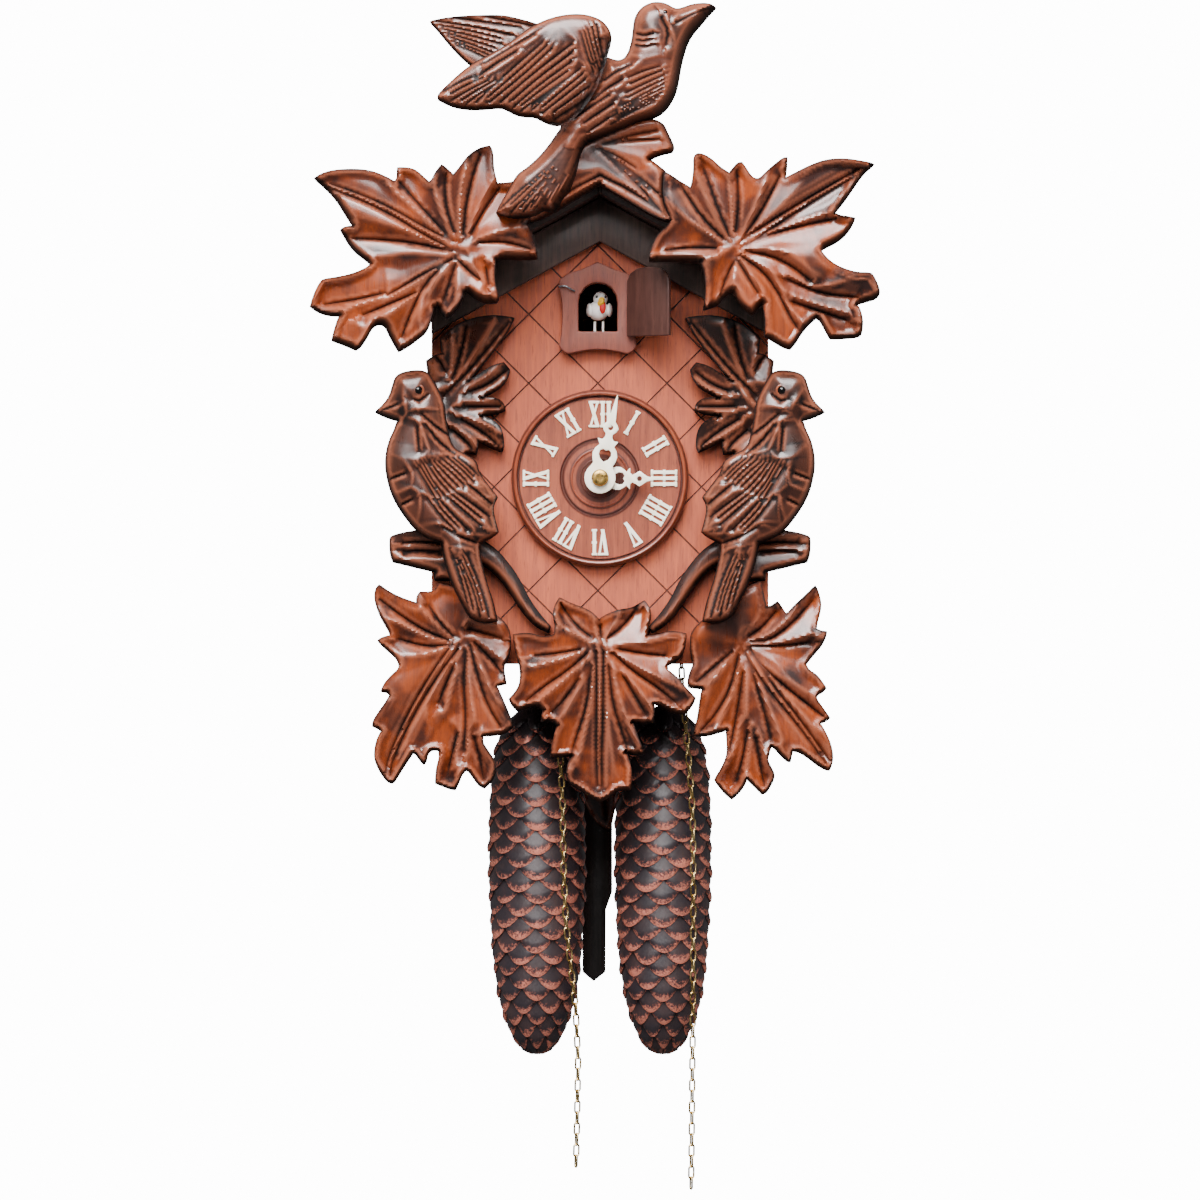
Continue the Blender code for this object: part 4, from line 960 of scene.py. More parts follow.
BRANCH_CUTS = fan((-2, 151), [(26, 158), (27, 154), (16, 141), (29, 127), (22, 131), (28, 121),
                              (10, 139)], 0.03)
BRANCH_CUTS += [[(-30, 121), (-14, 130.5), (0, 137.5), (14, 130.5), (31, 119)]]
carve("carved_branch", "crown_branch", BRANCH_CUTS, CARVED, edge=0.96, ridge=1.4, under=(1.0, -0.2),
      chamfer=2.4, grow=1.3)
print("branch carved")

# %% [markdown]
# ## The crown's wings
# Long feathers run out from the shoulder, and each wing has a finer stroke between every two of
# them. The near wing's border melts into the bird's back.

# %% Wings
NEAR_WING_CUTS = [
    [(-56, 181), (-64, 178), (-71, 174)], [(-50, 179), (-60, 174), (-67, 170)],
    [(-44, 179), (-54, 173), (-61, 168)], [(-26, 196), (-42, 182), (-56, 169)],
    [(-22, 193), (-36, 180), (-50, 169)], [(-13, 195), (-30, 182), (-45, 169)],
    [(-13, 187), (-27, 177), (-40, 166)], [(-16, 179), (-26, 172), (-36, 165)],
    [(-9, 184), (-20, 175), (-30, 166)], [(-7, 179), (-17, 171), (-26, 164)],
    [(-3, 174), (-12, 167), (-20, 162)], [(-38, 192), (-48, 186), (-57, 179)],
    [(-30, 200), (-42, 193), (-52, 187)], [(-8.5, 200), (-6, 191), (-3, 183)],
    [(-5.5, 202), (-3, 192), (0, 183)], [(-1.5, 204), (0, 195), (2, 187)],
]
FEATHER = {"step": 0.85, "wide_gap": 5.0, "width": 0.55}
carve("carved_wing_near", "crown_wing_front", finer(NEAR_WING_CUTS), CARVED_CROWN, ridge=1.5,
      groove=1.0, under=(0.1, -1.0), chamfer=1.6, round_off=14.0,
      blend_in=(-24.0, 150.0, 8.0, 199.0), **FEATHER)
FAR_WING_CUTS = [
    [(-75, 208.3), (-58, 206), (-40, 202)], [(-73, 205), (-60, 202), (-45, 198)],
    [(-70, 201.5), (-58, 197.5), (-46, 193)], [(-66, 197.5), (-57, 194), (-48, 189.5)],
    [(-66, 209.8), (-52, 208), (-36, 205.5)], [(-52, 210.3), (-40, 208.2), (-30, 206)],
]
carve("carved_wing_far", "crown_wing_back", finer(FAR_WING_CUTS), CARVED_CROWN, ridge=1.4,
      groove=0.9, under=(0.0, -1.0), chamfer=1.2, **FEATHER)
print("wings carved")

# %% [markdown]
# ## The crown's bird
# The body is plump, so its face rolls over far in from the edge. The tail's feathers fan out from
# the rump, the breast has short strokes, and the beak is parted by one cut.

# %% Crown bird
TAIL_CUTS = fan((-3, 161), [(-46, 121.5), (-41, 119.5), (-36, 119), (-31, 119.5), (-26, 122), (-21, 123),
                            (-16, 128), (-12, 134)], 0.02, 0.3)
BODY_CUTS = [
    [(27, 186), (20, 184), (13, 181)], [(29, 182), (20, 178), (12, 174)],
    [(29, 178), (19, 173), (10, 168)], [(28, 174), (17, 169), (6, 163)],
    [(25, 170), (14, 165), (5, 160)], [(14, 187), (8, 184), (2, 180)],
    [(10, 180), (3, 176), (-3, 171)], [(4, 173), (-4, 168), (-11, 163)],
    [(8, 165), (0, 160), (-6, 156)], [(35, 206), (43, 210.5), (51.5, 213.8)],
    [(17, 201), (20, 200), (24, 201)], [(16, 196), (20, 195), (25, 196)],
    [(28, 208), (31, 202), (30, 196)],
]
carve("carved_crown_bird", "crown_bird", finer(TAIL_CUTS + BODY_CUTS), CARVED_CROWN, ridge=1.4,
      groove=0.9, under=(0.95, -0.35), chamfer=4.0, round_off=9.0, **FEATHER)
print("crown bird carved")

# %% [markdown]
# ## The side birds
# A plump bird sits on each side. The long strokes are its wing and tail feathers, and the short
# ones its neck, breast and beak. The right bird is the left one mirrored, painted edge shade and all.

# %% Side birds
SIDES = {"left": -1.0, "right": 1.0}
LEFT_BIRD_CUTS = [
    [(-84, 4), (-79, -4), (-74, -12)], [(-81, 6), (-76, -3), (-70, -10)],
    [(-78, 7), (-72, -1), (-66, -7)],
    [(-74, 7), (-68, 2), (-62, -4)], [(-70, 9), (-64, 4), (-58, -2)], [(-65, 9), (-60, 5), (-56, 1)],
    [(-79, -10), (-73, -18), (-66, -25)], [(-74, -10), (-68, -17), (-61, -24)],
    [(-70, -9), (-63, -15), (-55, -22)], [(-66, -7), (-59, -12), (-51, -18)],
    [(-61, -3), (-56, -7), (-50, -12)], [(-72, -23), (-65, -27), (-57, -30)],
    [(-67, -37), (-63, -50), (-60, -62)], [(-64, -38), (-58, -52), (-55, -64)],
    [(-61, -36), (-55, -50), (-51, -64)], [(-82, 29), (-74, 22), (-65, 17)],
    [(-80, 24), (-74, 16), (-67, 11)],
    [(-84, 23), (-83, 12)], [(-93, 33.5), (-98, 31.5), (-102, 30.3)], [(-97, -1), (-89, 2)],
    [(-92, -13), (-86, -10)], [(-86, 36), (-83, 35), (-79, 38)],
]
for side, outer in SIDES.items():
    cuts = LEFT_BIRD_CUTS if side == "left" else mirror(LEFT_BIRD_CUTS)
    carve("carved_bird_" + side, "bird_" + side, finer(cuts, 6.0), CARVED_BIRD, step=0.85,
          ridge=1.6, groove=1.2, chamfer=2.0, under=(0.6 * outer, -0.8), wide_gap=6.0, width=0.6,
          round_off=15.0, peak=0.45)

# %% [markdown]
# ## The sprays and the bob
# Each bird sits on a spray of leaves. The spray's S-shaped stem stays smooth, and its leaves have
# one cut along each lobe. The pendulum's bob is a thin leaf with three shallow veins.

# %% Sprays and bob
LEFT_SPRAY_CUTS = [
    [(-72, 38), (-60, 50), (-50, 62), (-42, 72)], [(-68, 46), (-64, 58), (-62, 70)],
    [(-72, 50), (-74, 54), (-76, 56)], [(-60, 40), (-52, 43), (-44, 49)],
    [(-62, 33), (-54, 33), (-46, 33)], [(-64, 27), (-54, 21), (-47, 15)],
    [(-68, 22), (-62, 17), (-59, 13)], [(-74, -30), (-84, -29.5), (-91, -30)],
    [(-74, -34), (-84, -33.5), (-90, -34)],
]
for side, outer in SIDES.items():
    cuts = LEFT_SPRAY_CUTS if side == "left" else mirror(LEFT_SPRAY_CUTS)
    carve("carved_spray_" + side, "spray_" + side, cuts, CARVED_BIRD, chamfer=2.2,
          under=(0.4 * outer, -0.9))
BOB_CUTS = [[(0, -106), (0, -130), (3, -160)], [(-3, -112), (-9, -128), (-9, -142)],
            [(3, -112), (10, -128), (10, -142)]]
carve("carved_bob", "pendulum_bob", BOB_CUTS, CARVED_BIRD, body="pendulum", ridge=0.8, groove=0.7,
      chamfer=1.0, grow=0.0)


# %% [markdown]
# ## Working on one piece
# Operators act on whatever is selected, so each piece starts with nothing selected. A finished
# piece gets its name and material, and its place is moved into its mesh. Then it is told which
# body it moves with.

# %% Working on one piece
def clean_start():
    """Leave edit mode and deselect everything."""
    if bpy.context.object and bpy.context.object.mode != "OBJECT":
        bpy.ops.object.mode_set(mode="OBJECT")
    bpy.ops.object.select_all(action="DESELECT")


def settle(name, material, body="case", smooth=40.0):
    """Name the active piece, put its place in its mesh, and let it ride on a body."""
    piece = bpy.context.object
    bpy.ops.object.transform_apply(location=True, rotation=True, scale=True)
    piece.name = name
    piece.data.name = name
    piece.data.materials.clear()
    piece.data.materials.append(material)
    if smooth:
        bpy.ops.object.shade_smooth_by_angle(angle=math.radians(smooth))
    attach(piece, body)
    return piece


def take_up(piece):
    """Select one piece and make it the active one."""
    clean_start()
    piece.select_set(True)
    bpy.context.view_layer.objects.active = piece


def ease_edges(piece, width, segments=1, above=30.0):
    """Bevel the edges that turn by more than some degrees."""
    bevel = piece.modifiers.new("ease", "BEVEL")
    bevel.width = width * MM
    bevel.segments = segments
    bevel.limit_method = "ANGLE"
    bevel.angle_limit = math.radians(above)
    bpy.ops.object.modifier_apply(modifier="ease")


print("ready to work with operators")


# %% [markdown]
# ## Glass eyes
# Each bird has a black glass bead for an eye, set in a turned ring: a sphere and a thin torus.

# %% Eyes
def eye(name, x, y, z, radius):
    """A bead and its ring."""
    clean_start()
    bpy.ops.mesh.primitive_uv_sphere_add(segments=20, ring_count=12, radius=radius * MM,
                                         location=at(x, y, z))
    settle(name + "_bead", GLASS_EYE)
    clean_start()
    bpy.ops.mesh.primitive_torus_add(major_radius=radius * 1.12 * MM, minor_radius=radius * 0.26 * MM,
                                     major_segments=24, minor_segments=8, location=at(x, y - 0.2, z),
                                     rotation=(math.radians(90.0), 0.0, 0.0))
    settle(name + "_ring", AMBER)


eye("eye_left", -83.5, -132.0, 40.0, 2.1)
eye("eye_right", 83.5, -132.0, 40.0, 2.1)
eye("eye_crown", 29.5, -163.6, 210.5, 1.3)
print("eyes set")


# %% [markdown]
# ## Boards
# Every board is a copy of its CAD piece with its sharp arrises eased by a small bevel. The copy's
# loose triangles are merged and its flat faces joined first, so the bevel finds clean edges.

# %% Boards
def eased(name, node, width, material, body="case", segments=2):
    """A copy of a CAD piece with softened edges."""
    piece = placed(name, frame["nodes"][node].data.copy())
    take_up(piece)
    bpy.ops.object.mode_set(mode="EDIT")
    bpy.ops.mesh.select_all(action="SELECT")
    bpy.ops.mesh.remove_doubles(threshold=0.00001)
    bpy.ops.mesh.dissolve_limited(angle_limit=math.radians(1.0))
    bpy.ops.object.mode_set(mode="OBJECT")
    ease_edges(piece, width, segments, above=32.0)
    settle(name, material, body, smooth=35.0)
    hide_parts(node)
    return piece


node_slot = {row["node"]: row["material_slot"] for row in frame["record"]["subparts"]}
BOARDS = (
    ("side_left", 0.6, CASE), ("side_right", 0.6, CASE), ("bottom_board", 0.4, CASE),
    ("roof_left", 0.9, ROOF), ("roof_right", 0.9, ROOF), ("gable_board", 0.6, DARK),
    ("back_rail", 0.5, RAW), ("hook_plate", 0.2, STEEL),
)
for node, width, material in BOARDS:
    eased("board_" + node, node, width, material)
eased("board_back_door", "back_door", 0.6, RAW, body="back_door")


print(len(BOARDS) + 1, "boards eased")


# %% [markdown]
# ## Strips and cards
# A thin dark strip fills the joint of the two roof boards at the ridge. Behind the doorway a black
# card is painted shade: it stands for the dark inside of the case and keeps the movement out of
# sight. Both are plain blocks with eased edges.

# %% Strips and cards
def block(name, low, high, material, ease):
    """A small block of the case between two corners in millimetres."""
    clean_start()
    centre = [(a + b) / 2.0 for a, b in zip(low, high)]
    bpy.ops.mesh.primitive_cube_add(size=1.0, location=at(*centre))
    piece = bpy.context.object
    piece.scale = [(b - a) * MM for a, b in zip(low, high)]
    bpy.ops.object.transform_apply(location=False, rotation=False, scale=True)
    ease_edges(piece, ease)
    settle(name, material)


block("ridge_seam", (-0.6, -134.6, 130.4), (0.6, -0.8, 139.6), DARK, 0.2)
# Painted shade: a black card where the inside of the case is only in shade.
block("painted_shade_card", (-22.0, -14.6, 78.0), (22.0, -14.0, 112.0), INK, 0.1)
print("strip and card made")

# %% [markdown]
# ## The facade and its lattice
# The front panel is scored with a diagonal lattice. A saw held at an angle gives V grooves, so
# the panel's copy is cut by square bars turned on edge, one for each line.

# %% Facade
LATTICE = 32.0
BAR_LONG, BAR_THICK = 0.4, 0.0006
facade = eased("facade", "front_panel", 0.4, PANEL)
panel_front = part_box("front_panel")[0].y * 1000.0


def lattice_bar(slope, offset):
    """A square bar along z = slope * x + offset, turned so that an edge digs into the face."""
    clean_start()
    middle_x = -slope * offset / 2.0
    bpy.ops.mesh.primitive_cube_add(size=1.0, location=(0.0, 0.0, 0.0))
    bar = bpy.context.object
    bar.scale = (BAR_LONG, BAR_THICK, BAR_THICK)
    bpy.ops.object.transform_apply(location=False, rotation=False, scale=True)
    bar.rotation_euler = (math.radians(45.0), 0.0, 0.0)
    bpy.ops.object.transform_apply(location=False, rotation=True, scale=False)
    bar.rotation_euler = (0.0, math.radians(-45.0 * slope), 0.0)
    bar.location = at(middle_x, panel_front - 0.05, slope * middle_x + offset)
    return bar


bars = []
for turn in range(-4, 4):
    bars.append(lattice_bar(-1.0, 43.0 + LATTICE * turn))
    bars.append(lattice_bar(1.0, 45.0 + LATTICE * turn))
clean_start()
for bar in bars:
    saw = facade.modifiers.new("saw", "BOOLEAN")
    saw.operation = "DIFFERENCE"
    saw.solver = "EXACT"
    saw.object = bar
    bpy.context.view_layer.objects.active = facade
    bpy.ops.object.modifier_apply(modifier="saw")
for bar in bars:
    bpy.data.objects.remove(bar)
print(len(bars), "grooves sawn")

# %% [markdown]
# ## Stain in the grooves
# Stain gathers in the grooves, so their slanting walls take the darker case stain. They are found
# by the way they face, which no other face of the panel shares.

# %% Stain in the grooves
facade.data.materials.append(CASE)
for face in facade.data.polygons:
    tilted = abs(face.normal.x) > 0.3 and abs(face.normal.z) > 0.3 and face.normal.y < -0.3
    face.material_index = 1 if tilted else 0
print("facade", len(facade.data.polygons), "faces")

# %% [markdown]
# ## The cuckoo's doorway
# The doorway has a small shaped board round it, and the open leaf hangs to its right on a wire.

# %% Doorway
eased("doorway_board", "door_plaque", 0.7, PLAQUE, segments=3)
eased("cuckoo_door_leaf", "cuckoo_door", 0.5, DOOR, body="cuckoo_door")
bpy.context.view_layer.update()
print("doorway board and door made")

# %% [markdown]
# ## The door wire
# A short bent steel wire is fixed at the left of the doorway. A curve through a few points, with a
# round bevel and capped ends, gives it, and it is then made a mesh.

# %% Door wire
def wire(name, points, radius, material):
    """A round wire through points in millimetres."""
    curve = bpy.data.curves.new(name, "CURVE")
    curve.dimensions = "3D"
    curve.bevel_depth = radius * MM
    curve.bevel_resolution = 3
    curve.use_fill_caps = True
    line = curve.splines.new("NURBS")
    line.points.add(len(points) - 1)
    line.use_endpoint_u = True
    line.order_u = 3
    for point, spot in zip(line.points, points):
        point.co = (*at(*spot), 1.0)
    take_up(placed(name, curve))
    bpy.ops.object.convert(target="MESH")
    settle(name, material, smooth=50.0)


CATCH = [(-19.0, -112.9, 88.4), (-16.5, -113.6, 89.0), (-14.0, -113.6, 87.6), (-11.6, -112.9, 86.4)]
wire("door_catch", CATCH, 0.45, STEEL)
print("door wire through", len(CATCH), "points")


# %% [markdown]
# ## The cuckoo
# The bird is whittled from one small block and painted: white body and wings, black eyes, a yellow
# beak and a red throat, on two wire legs.

# %% Cuckoo
def ball(name, x, y, z, size, material, turn=0.0):
    """An egg of the given sizes along x, y and z."""
    clean_start()
    bpy.ops.mesh.primitive_uv_sphere_add(segments=24, ring_count=14, radius=1.0, location=at(x, y, z))
    piece = bpy.context.object
    piece.scale = [value * MM for value in size]
    piece.rotation_euler = (0.0, 0.0, math.radians(turn))
    return settle(name, material, "cuckoo", smooth=60.0)


bird = ball("cuckoo_body", -0.8, -98.6, 78.0, (5.0, 4.4, 4.6), WHITE, 12.0)
ball("cuckoo_head", 0.2, -99.8, 83.4, (3.4, 3.5, 3.3), WHITE)
ball("cuckoo_wing_left", -5.0, -99.0, 78.2, (1.3, 3.4, 3.2), WHITE, 12.0)
ball("cuckoo_wing_right", 4.4, -99.0, 78.2, (1.3, 3.4, 3.2), WHITE, -12.0)
ball("cuckoo_throat", 1.2, -102.8, 79.4, (1.5, 1.0, 3.0), RED)
ball("cuckoo_eye_left", -1.4, -102.6, 84.2, (0.7, 0.5, 0.7), INK)
ball("cuckoo_eye_right", 2.4, -102.4, 84.2, (0.7, 0.5, 0.7), INK)
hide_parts("cuckoo")
print("cuckoo's body, head and wings made")

# %% [markdown]
# ## The cuckoo's beak and legs
# The open beak is two small cones, tilted apart, and the legs are two short wires that stand on
# the lever.

# %% Beak and legs
for name, z, tilt in (("cuckoo_beak_upper", 82.6, 8.0), ("cuckoo_beak_lower", 81.4, -6.0)):
    clean_start()
    bpy.ops.mesh.primitive_cone_add(vertices=16, radius1=1.9 * MM, radius2=0.25 * MM, depth=3.0 * MM,
                                    location=at(0.9, -103.6, z),
                                    rotation=(math.radians(90.0 + tilt), 0.0, math.radians(12.0)))
    settle(name, YELLOW, "cuckoo", smooth=50.0)
for name, x in (("cuckoo_leg_left", -2.4), ("cuckoo_leg_right", 1.4)):
    clean_start()
    bpy.ops.mesh.primitive_cylinder_add(vertices=12, radius=0.55 * MM, depth=5.4 * MM,
                                        location=at(x, -98.6, 70.2))
    settle(name, WHITE, "cuckoo")
eased("cuckoo_lever", "cuckoo_arm", 0.2, RAW, body="cuckoo")
print("cuckoo done")

# %% [markdown]
# ## Turning on a lathe
# The dial and the hand nut are turned pieces. A closed profile, drawn as a line of points beside
# the axis, is spun all the way round it, which leaves a bore in the middle.

# %% Lathe
def lathe(name, profile, material, steps, body):
    """Spin a closed profile of (radius, y) about the dial's axis."""
    mesh = bpy.data.meshes.new(name)
    count = len(profile)
    verts = [at(radius, y, 0.0) for radius, y in profile]
    mesh.from_pydata(verts, [(i, (i + 1) % count) for i in range(count)], [])
    take_up(placed(name, mesh))
    bpy.ops.object.mode_set(mode="EDIT")
    bpy.ops.mesh.select_all(action="SELECT")
    bpy.ops.mesh.spin(steps=steps, angle=2.0 * math.pi, center=at(0.0, 0.0, 0.0), axis=(0, 1, 0))
    bpy.ops.mesh.select_all(action="SELECT")
    bpy.ops.mesh.remove_doubles(threshold=0.000002)
    bpy.ops.mesh.normals_make_consistent(inside=False)
    bpy.ops.object.mode_set(mode="OBJECT")
    return settle(name, material, body, smooth=30.0)


def bead(radius, y, size, steps=5):
    """Points over a small bead that stands out from y."""
    return [(radius - size * math.cos(math.pi * i / steps), y - size * math.sin(math.pi * i / steps))
            for i in range(steps + 1)]


print("a bead takes", len(bead(9.0, 0.0, 0.35)), "points")


# %% [markdown]
# ## The dial's wood
# The dial is the panel's wood. Painted shade darkens it in the turned grooves and rings, round the
# hub and at the rim, so the rings are found by their distance from the centre.

# %% Dial wood
def dial_wood():
    """Panel wood with painted shade in the turned rings, round the hub and at the rim."""
    material, tree, shader = shader_of("turned dial")
    grain = use_group(tree, grain_group, {"Along X": 0.0, "Fibre Scale": 0.9})
    spot = add(tree, "ShaderNodeTexCoord").outputs["Object"]
    apart = add(tree, "ShaderNodeSeparateXYZ", None, {0: spot}).outputs
    across = math_node(tree, "POWER", math_node(tree, "ABSOLUTE", apart[0]), 2.0)
    up = math_node(tree, "SUBTRACT", apart[2], DIAL_Z)
    up = math_node(tree, "POWER", math_node(tree, "ABSOLUTE", up), 2.0)
    radius = math_node(tree, "SQRT", math_node(tree, "ADD", across, up))
    tone = blend_colours(tree, band(tree, grain["Fibre"], 0.32, 0.70), rgb(116, 54, 36), rgb(146, 72, 46))
    tone = blend_colours(tree, math_node(tree, "MULTIPLY", grain["Pore"], 0.5), tone, rgb(66, 30, 22))
    # Painted shade: the rim, the turned grooves and the ring round the hub are darkened by radius.
    dark = band(tree, radius, 0.0396, 0.0404)
    for low, high in ((0.0373, 0.0383), (0.0163, 0.0188), (0.0136, 0.0144), (0.0070, 0.0112)):
        ring = math_node(tree, "MULTIPLY", band(tree, radius, low - 0.0004, low + 0.0004),
                         band(tree, radius, high - 0.0004, high + 0.0004, 1.0, 0.0))
        dark = math_node(tree, "MAXIMUM", dark, ring)
    tone = blend_colours(tree, math_node(tree, "MULTIPLY", dark, 0.8), tone, rgb(52, 22, 17))
    tree.links.new(tone, shader.inputs["Base Color"])
    tree.links.new(relief_normal(tree, grain["Height"], 0.16), shader.inputs["Normal"])
    shader.inputs["Roughness"].default_value = 0.42
    shader.inputs["Coat Weight"].default_value = 0.35
    shader.inputs["Coat Roughness"].default_value = 0.25
    return material


DIAL_WOOD = dial_wood()
print("dial wood has", len(DIAL_WOOD.node_tree.nodes), "nodes")

# %% [markdown]
# ## The dial
# The dial is one turned disc: two beads and a groove round the hands, a flat for the numerals, a
# groove inside the rim, and a rolled rim. Its profile runs from the bore outwards.

# %% Dial
DIAL_R = (dial_high.x - dial_low.x) / 2.0 * 1000.0
DIAL_FACE = -110.0
DIAL_BACK = -106.3
profile = [(4.5, DIAL_BACK), (4.5, -109.6), (5.2, DIAL_FACE)]
profile += bead(9.0, DIAL_FACE, 0.35) + bead(13.2, DIAL_FACE, 0.5) + [(14.4, DIAL_FACE + 0.1)]
profile += [(16.8, DIAL_FACE + 0.1), (17.4, DIAL_FACE + 0.8), (18.0, DIAL_FACE + 0.8)]
profile += [(18.6, DIAL_FACE), (37.2, DIAL_FACE), (37.5, DIAL_FACE + 0.9), (38.1, DIAL_FACE + 0.9)]
profile += [(38.3, DIAL_FACE - 0.8), (38.7, -111.9), (39.3, -112.2), (39.9, -111.8), (40.5, -110.9)]
profile += [(DIAL_R, -109.6), (DIAL_R, DIAL_BACK)]
dial = lathe("turned_dial", profile, DIAL_WOOD, 128, "case")
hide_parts("dial")
print("dial radius", DIAL_R)

# %% [markdown]
# ## Strokes of a numeral
# The numerals are moulded in ivory plastic and glued on: heavy main strokes, thin cross strokes,
# and a slab serif over each end. Each stroke is a short bar whose ends are cut level, and the
# heights differ a little so that crossing strokes don't share a face.

# %% Strokes
NUMERALS = ("XII", "I", "II", "III", "IIII", "V", "VI", "VII", "VIII", "IX", "X", "XI")
LETTER_WIDTH = {"I": 2.75, "V": 5.2, "X": 5.3}
INNER, OUTER = 23.6, 35.6


def stroke(bm, one, two, width, top):
    """A bar from one point to another, with its end cuts level."""
    half = width / 2.0
    ring = [(one[0] - half, one[1]), (one[0] + half, one[1]),
            (two[0] + half, two[1]), (two[0] - half, two[1])]
    low = [bm.verts.new((x, z, 0.0)) for x, z in ring]
    high = [bm.verts.new((x, z, top)) for x, z in ring]
    bm.faces.new(low[::-1])
    bm.faces.new(high)
    for i in range(4):
        j = (i + 1) % 4
        bm.faces.new((low[i], low[j], high[j], high[i]))


def write_letter(bm, letter, middle):
    """One letter's strokes and serifs, upright round a middle line."""
    span = LETTER_WIDTH[letter]
    reach = span / 2.0 - 0.9
    if letter == "I":
        stroke(bm, (middle, INNER), (middle, OUTER), 1.6, 0.80)
        stroke(bm, (middle, 29.1), (middle, 30.3), 2.3, 0.74)
    elif letter == "V":
        stroke(bm, (middle + 0.2, INNER), (middle - reach, OUTER), 1.7, 0.80)
        stroke(bm, (middle, INNER), (middle + reach, OUTER), 1.0, 0.76)
    else:
        stroke(bm, (middle + reach, INNER), (middle - reach, OUTER), 1.7, 0.80)
        stroke(bm, (middle - reach, INNER), (middle + reach, OUTER), 1.0, 0.76)
    if letter != "V":
        stroke(bm, (middle, INNER - 0.1), (middle, INNER + 1.0), span - 0.3, 0.72)
    stroke(bm, (middle, OUTER - 1.0), (middle, OUTER + 0.1), span - 0.3, 0.72)


print("letters are", round(OUTER - INNER + 0.2, 1), "mm high")


# %% [markdown]
# ## Numerals
# The numerals stand along the radius. So each is written upright above the centre, one letter
# beside the next, and then turned to its hour. A tiny bevel rounds the moulded edges.

# %% Numerals
def numeral(index, text):
    """One hour's numeral, glued to the dial."""
    bm = bmesh.new()
    x = -sum(LETTER_WIDTH[letter] for letter in text) / 2.0
    for letter in text:
        write_letter(bm, letter, x + LETTER_WIDTH[letter] / 2.0)
        x += LETTER_WIDTH[letter]
    turn = Matrix.Rotation(math.radians(30.0 * index), 4, "Y")
    for vert in bm.verts:
        flat = turn @ Vector((vert.co.x, 0.0, vert.co.y))
        vert.co = at(flat.x, DIAL_FACE + 0.05 - vert.co.z, flat.z)
    bmesh.ops.recalc_face_normals(bm, faces=bm.faces[:])
    mesh = bpy.data.meshes.new("numeral")
    bm.to_mesh(mesh)
    bm.free()
    piece = placed("numeral", mesh)
    take_up(piece)
    ease_edges(piece, 0.12)
    settle(f"numeral_{index or 12}", IVORY, smooth=30.0)


for index, text in enumerate(NUMERALS):
    numeral(index, text)
print("twelve numerals")

# %% [markdown]
# ## Hands
# The hands are fretted from ivory sheet; their eased edges catch the light. A brass nut holds them.

# %% Hands
eased("hand_hours", "hour_hand", 0.25, IVORY, body="hour")
eased("hand_minutes", "minute_hand", 0.25, IVORY, body="minute")
NUT_PROFILE = [(0.8, -119.5), (3.9, -119.5), (3.9, -120.8), (3.3, -121.6), (2.2, -122.0),
               (1.4, -121.9), (0.8, -121.9)]
nut = lathe("hands_nut", NUT_PROFILE, BRASS, 32, "minute")
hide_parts("hand_nut")
print("hands done")


# %% [markdown]
# ## The cone's core
# Each weight is a cast fir cone. Under its scales is a turned core, built from rings of points
# that run down its axis. The rings close to a single point at the top and at the bottom.

# %% Cone core
CORE = [(0.0, -106.5), (7.5, -107.5), (13.5, -114.5), (17.6, -124.0), (19.8, -138.0), (20.8, -155.0),
        (21.1, -172.0), (20.9, -190.0), (20.1, -209.0), (18.9, -225.0), (17.2, -239.0), (14.2, -251.0),
        (10.0, -261.0), (5.0, -267.5), (0.0, -269.5)]
CORE_TOP, CORE_FOOT = CORE[0][1], CORE[-1][1]
AROUND = 36


def around_axis(axis, radius, turn, z):
    """A point at a radius and an angle from a cone's axis."""
    return at(axis[0] + radius * math.cos(turn), axis[1] + radius * math.sin(turn), z)


def cone_core(axis):
    """The core's points and faces."""
    verts, faces = [], []
    for radius, z in CORE:
        for step in range(AROUND if radius else 1):
            verts.append(around_axis(axis, radius, 2.0 * math.pi * step / AROUND, z))
    for ring in range(len(CORE) - 1):
        one = 1 + (ring - 1) * AROUND if ring else 0
        two = 1 + ring * AROUND
        for step in range(AROUND):
            after = (step + 1) % AROUND
            if ring == 0:
                faces.append((0, two + after, two + step))
            elif ring == len(CORE) - 2:
                faces.append((one + step, one + after, two))
            else:
                faces.append((one + step, one + after, two + after, two + step))
    return verts, faces


print("core", round(CORE_TOP - CORE_FOOT), "mm long")


# %% [markdown]
# ## One scale
# A scale is a small bowed plate: it leaves the core at its root, swells outwards, narrows to a
# rounded lower lip, and is tucked under there. Each point also says how much copper the dry brush
# leaves on it, with the painted highlight that the copper carries. This is most at the middle of
# the lip.

# %% One scale
SCALES_ROUND = 8
ROW_PITCH = 5.7
SCALE_WIDE = 5
SCALE_LONG = 5
ACROSS = SCALE_WIDE * 2 + 1


def core_radius(z):
    """The core's radius at a height."""
    heights = [h for _, h in CORE][::-1]
    radii = [r for r, _ in CORE][::-1]
    return float(np.interp(z, heights, radii))


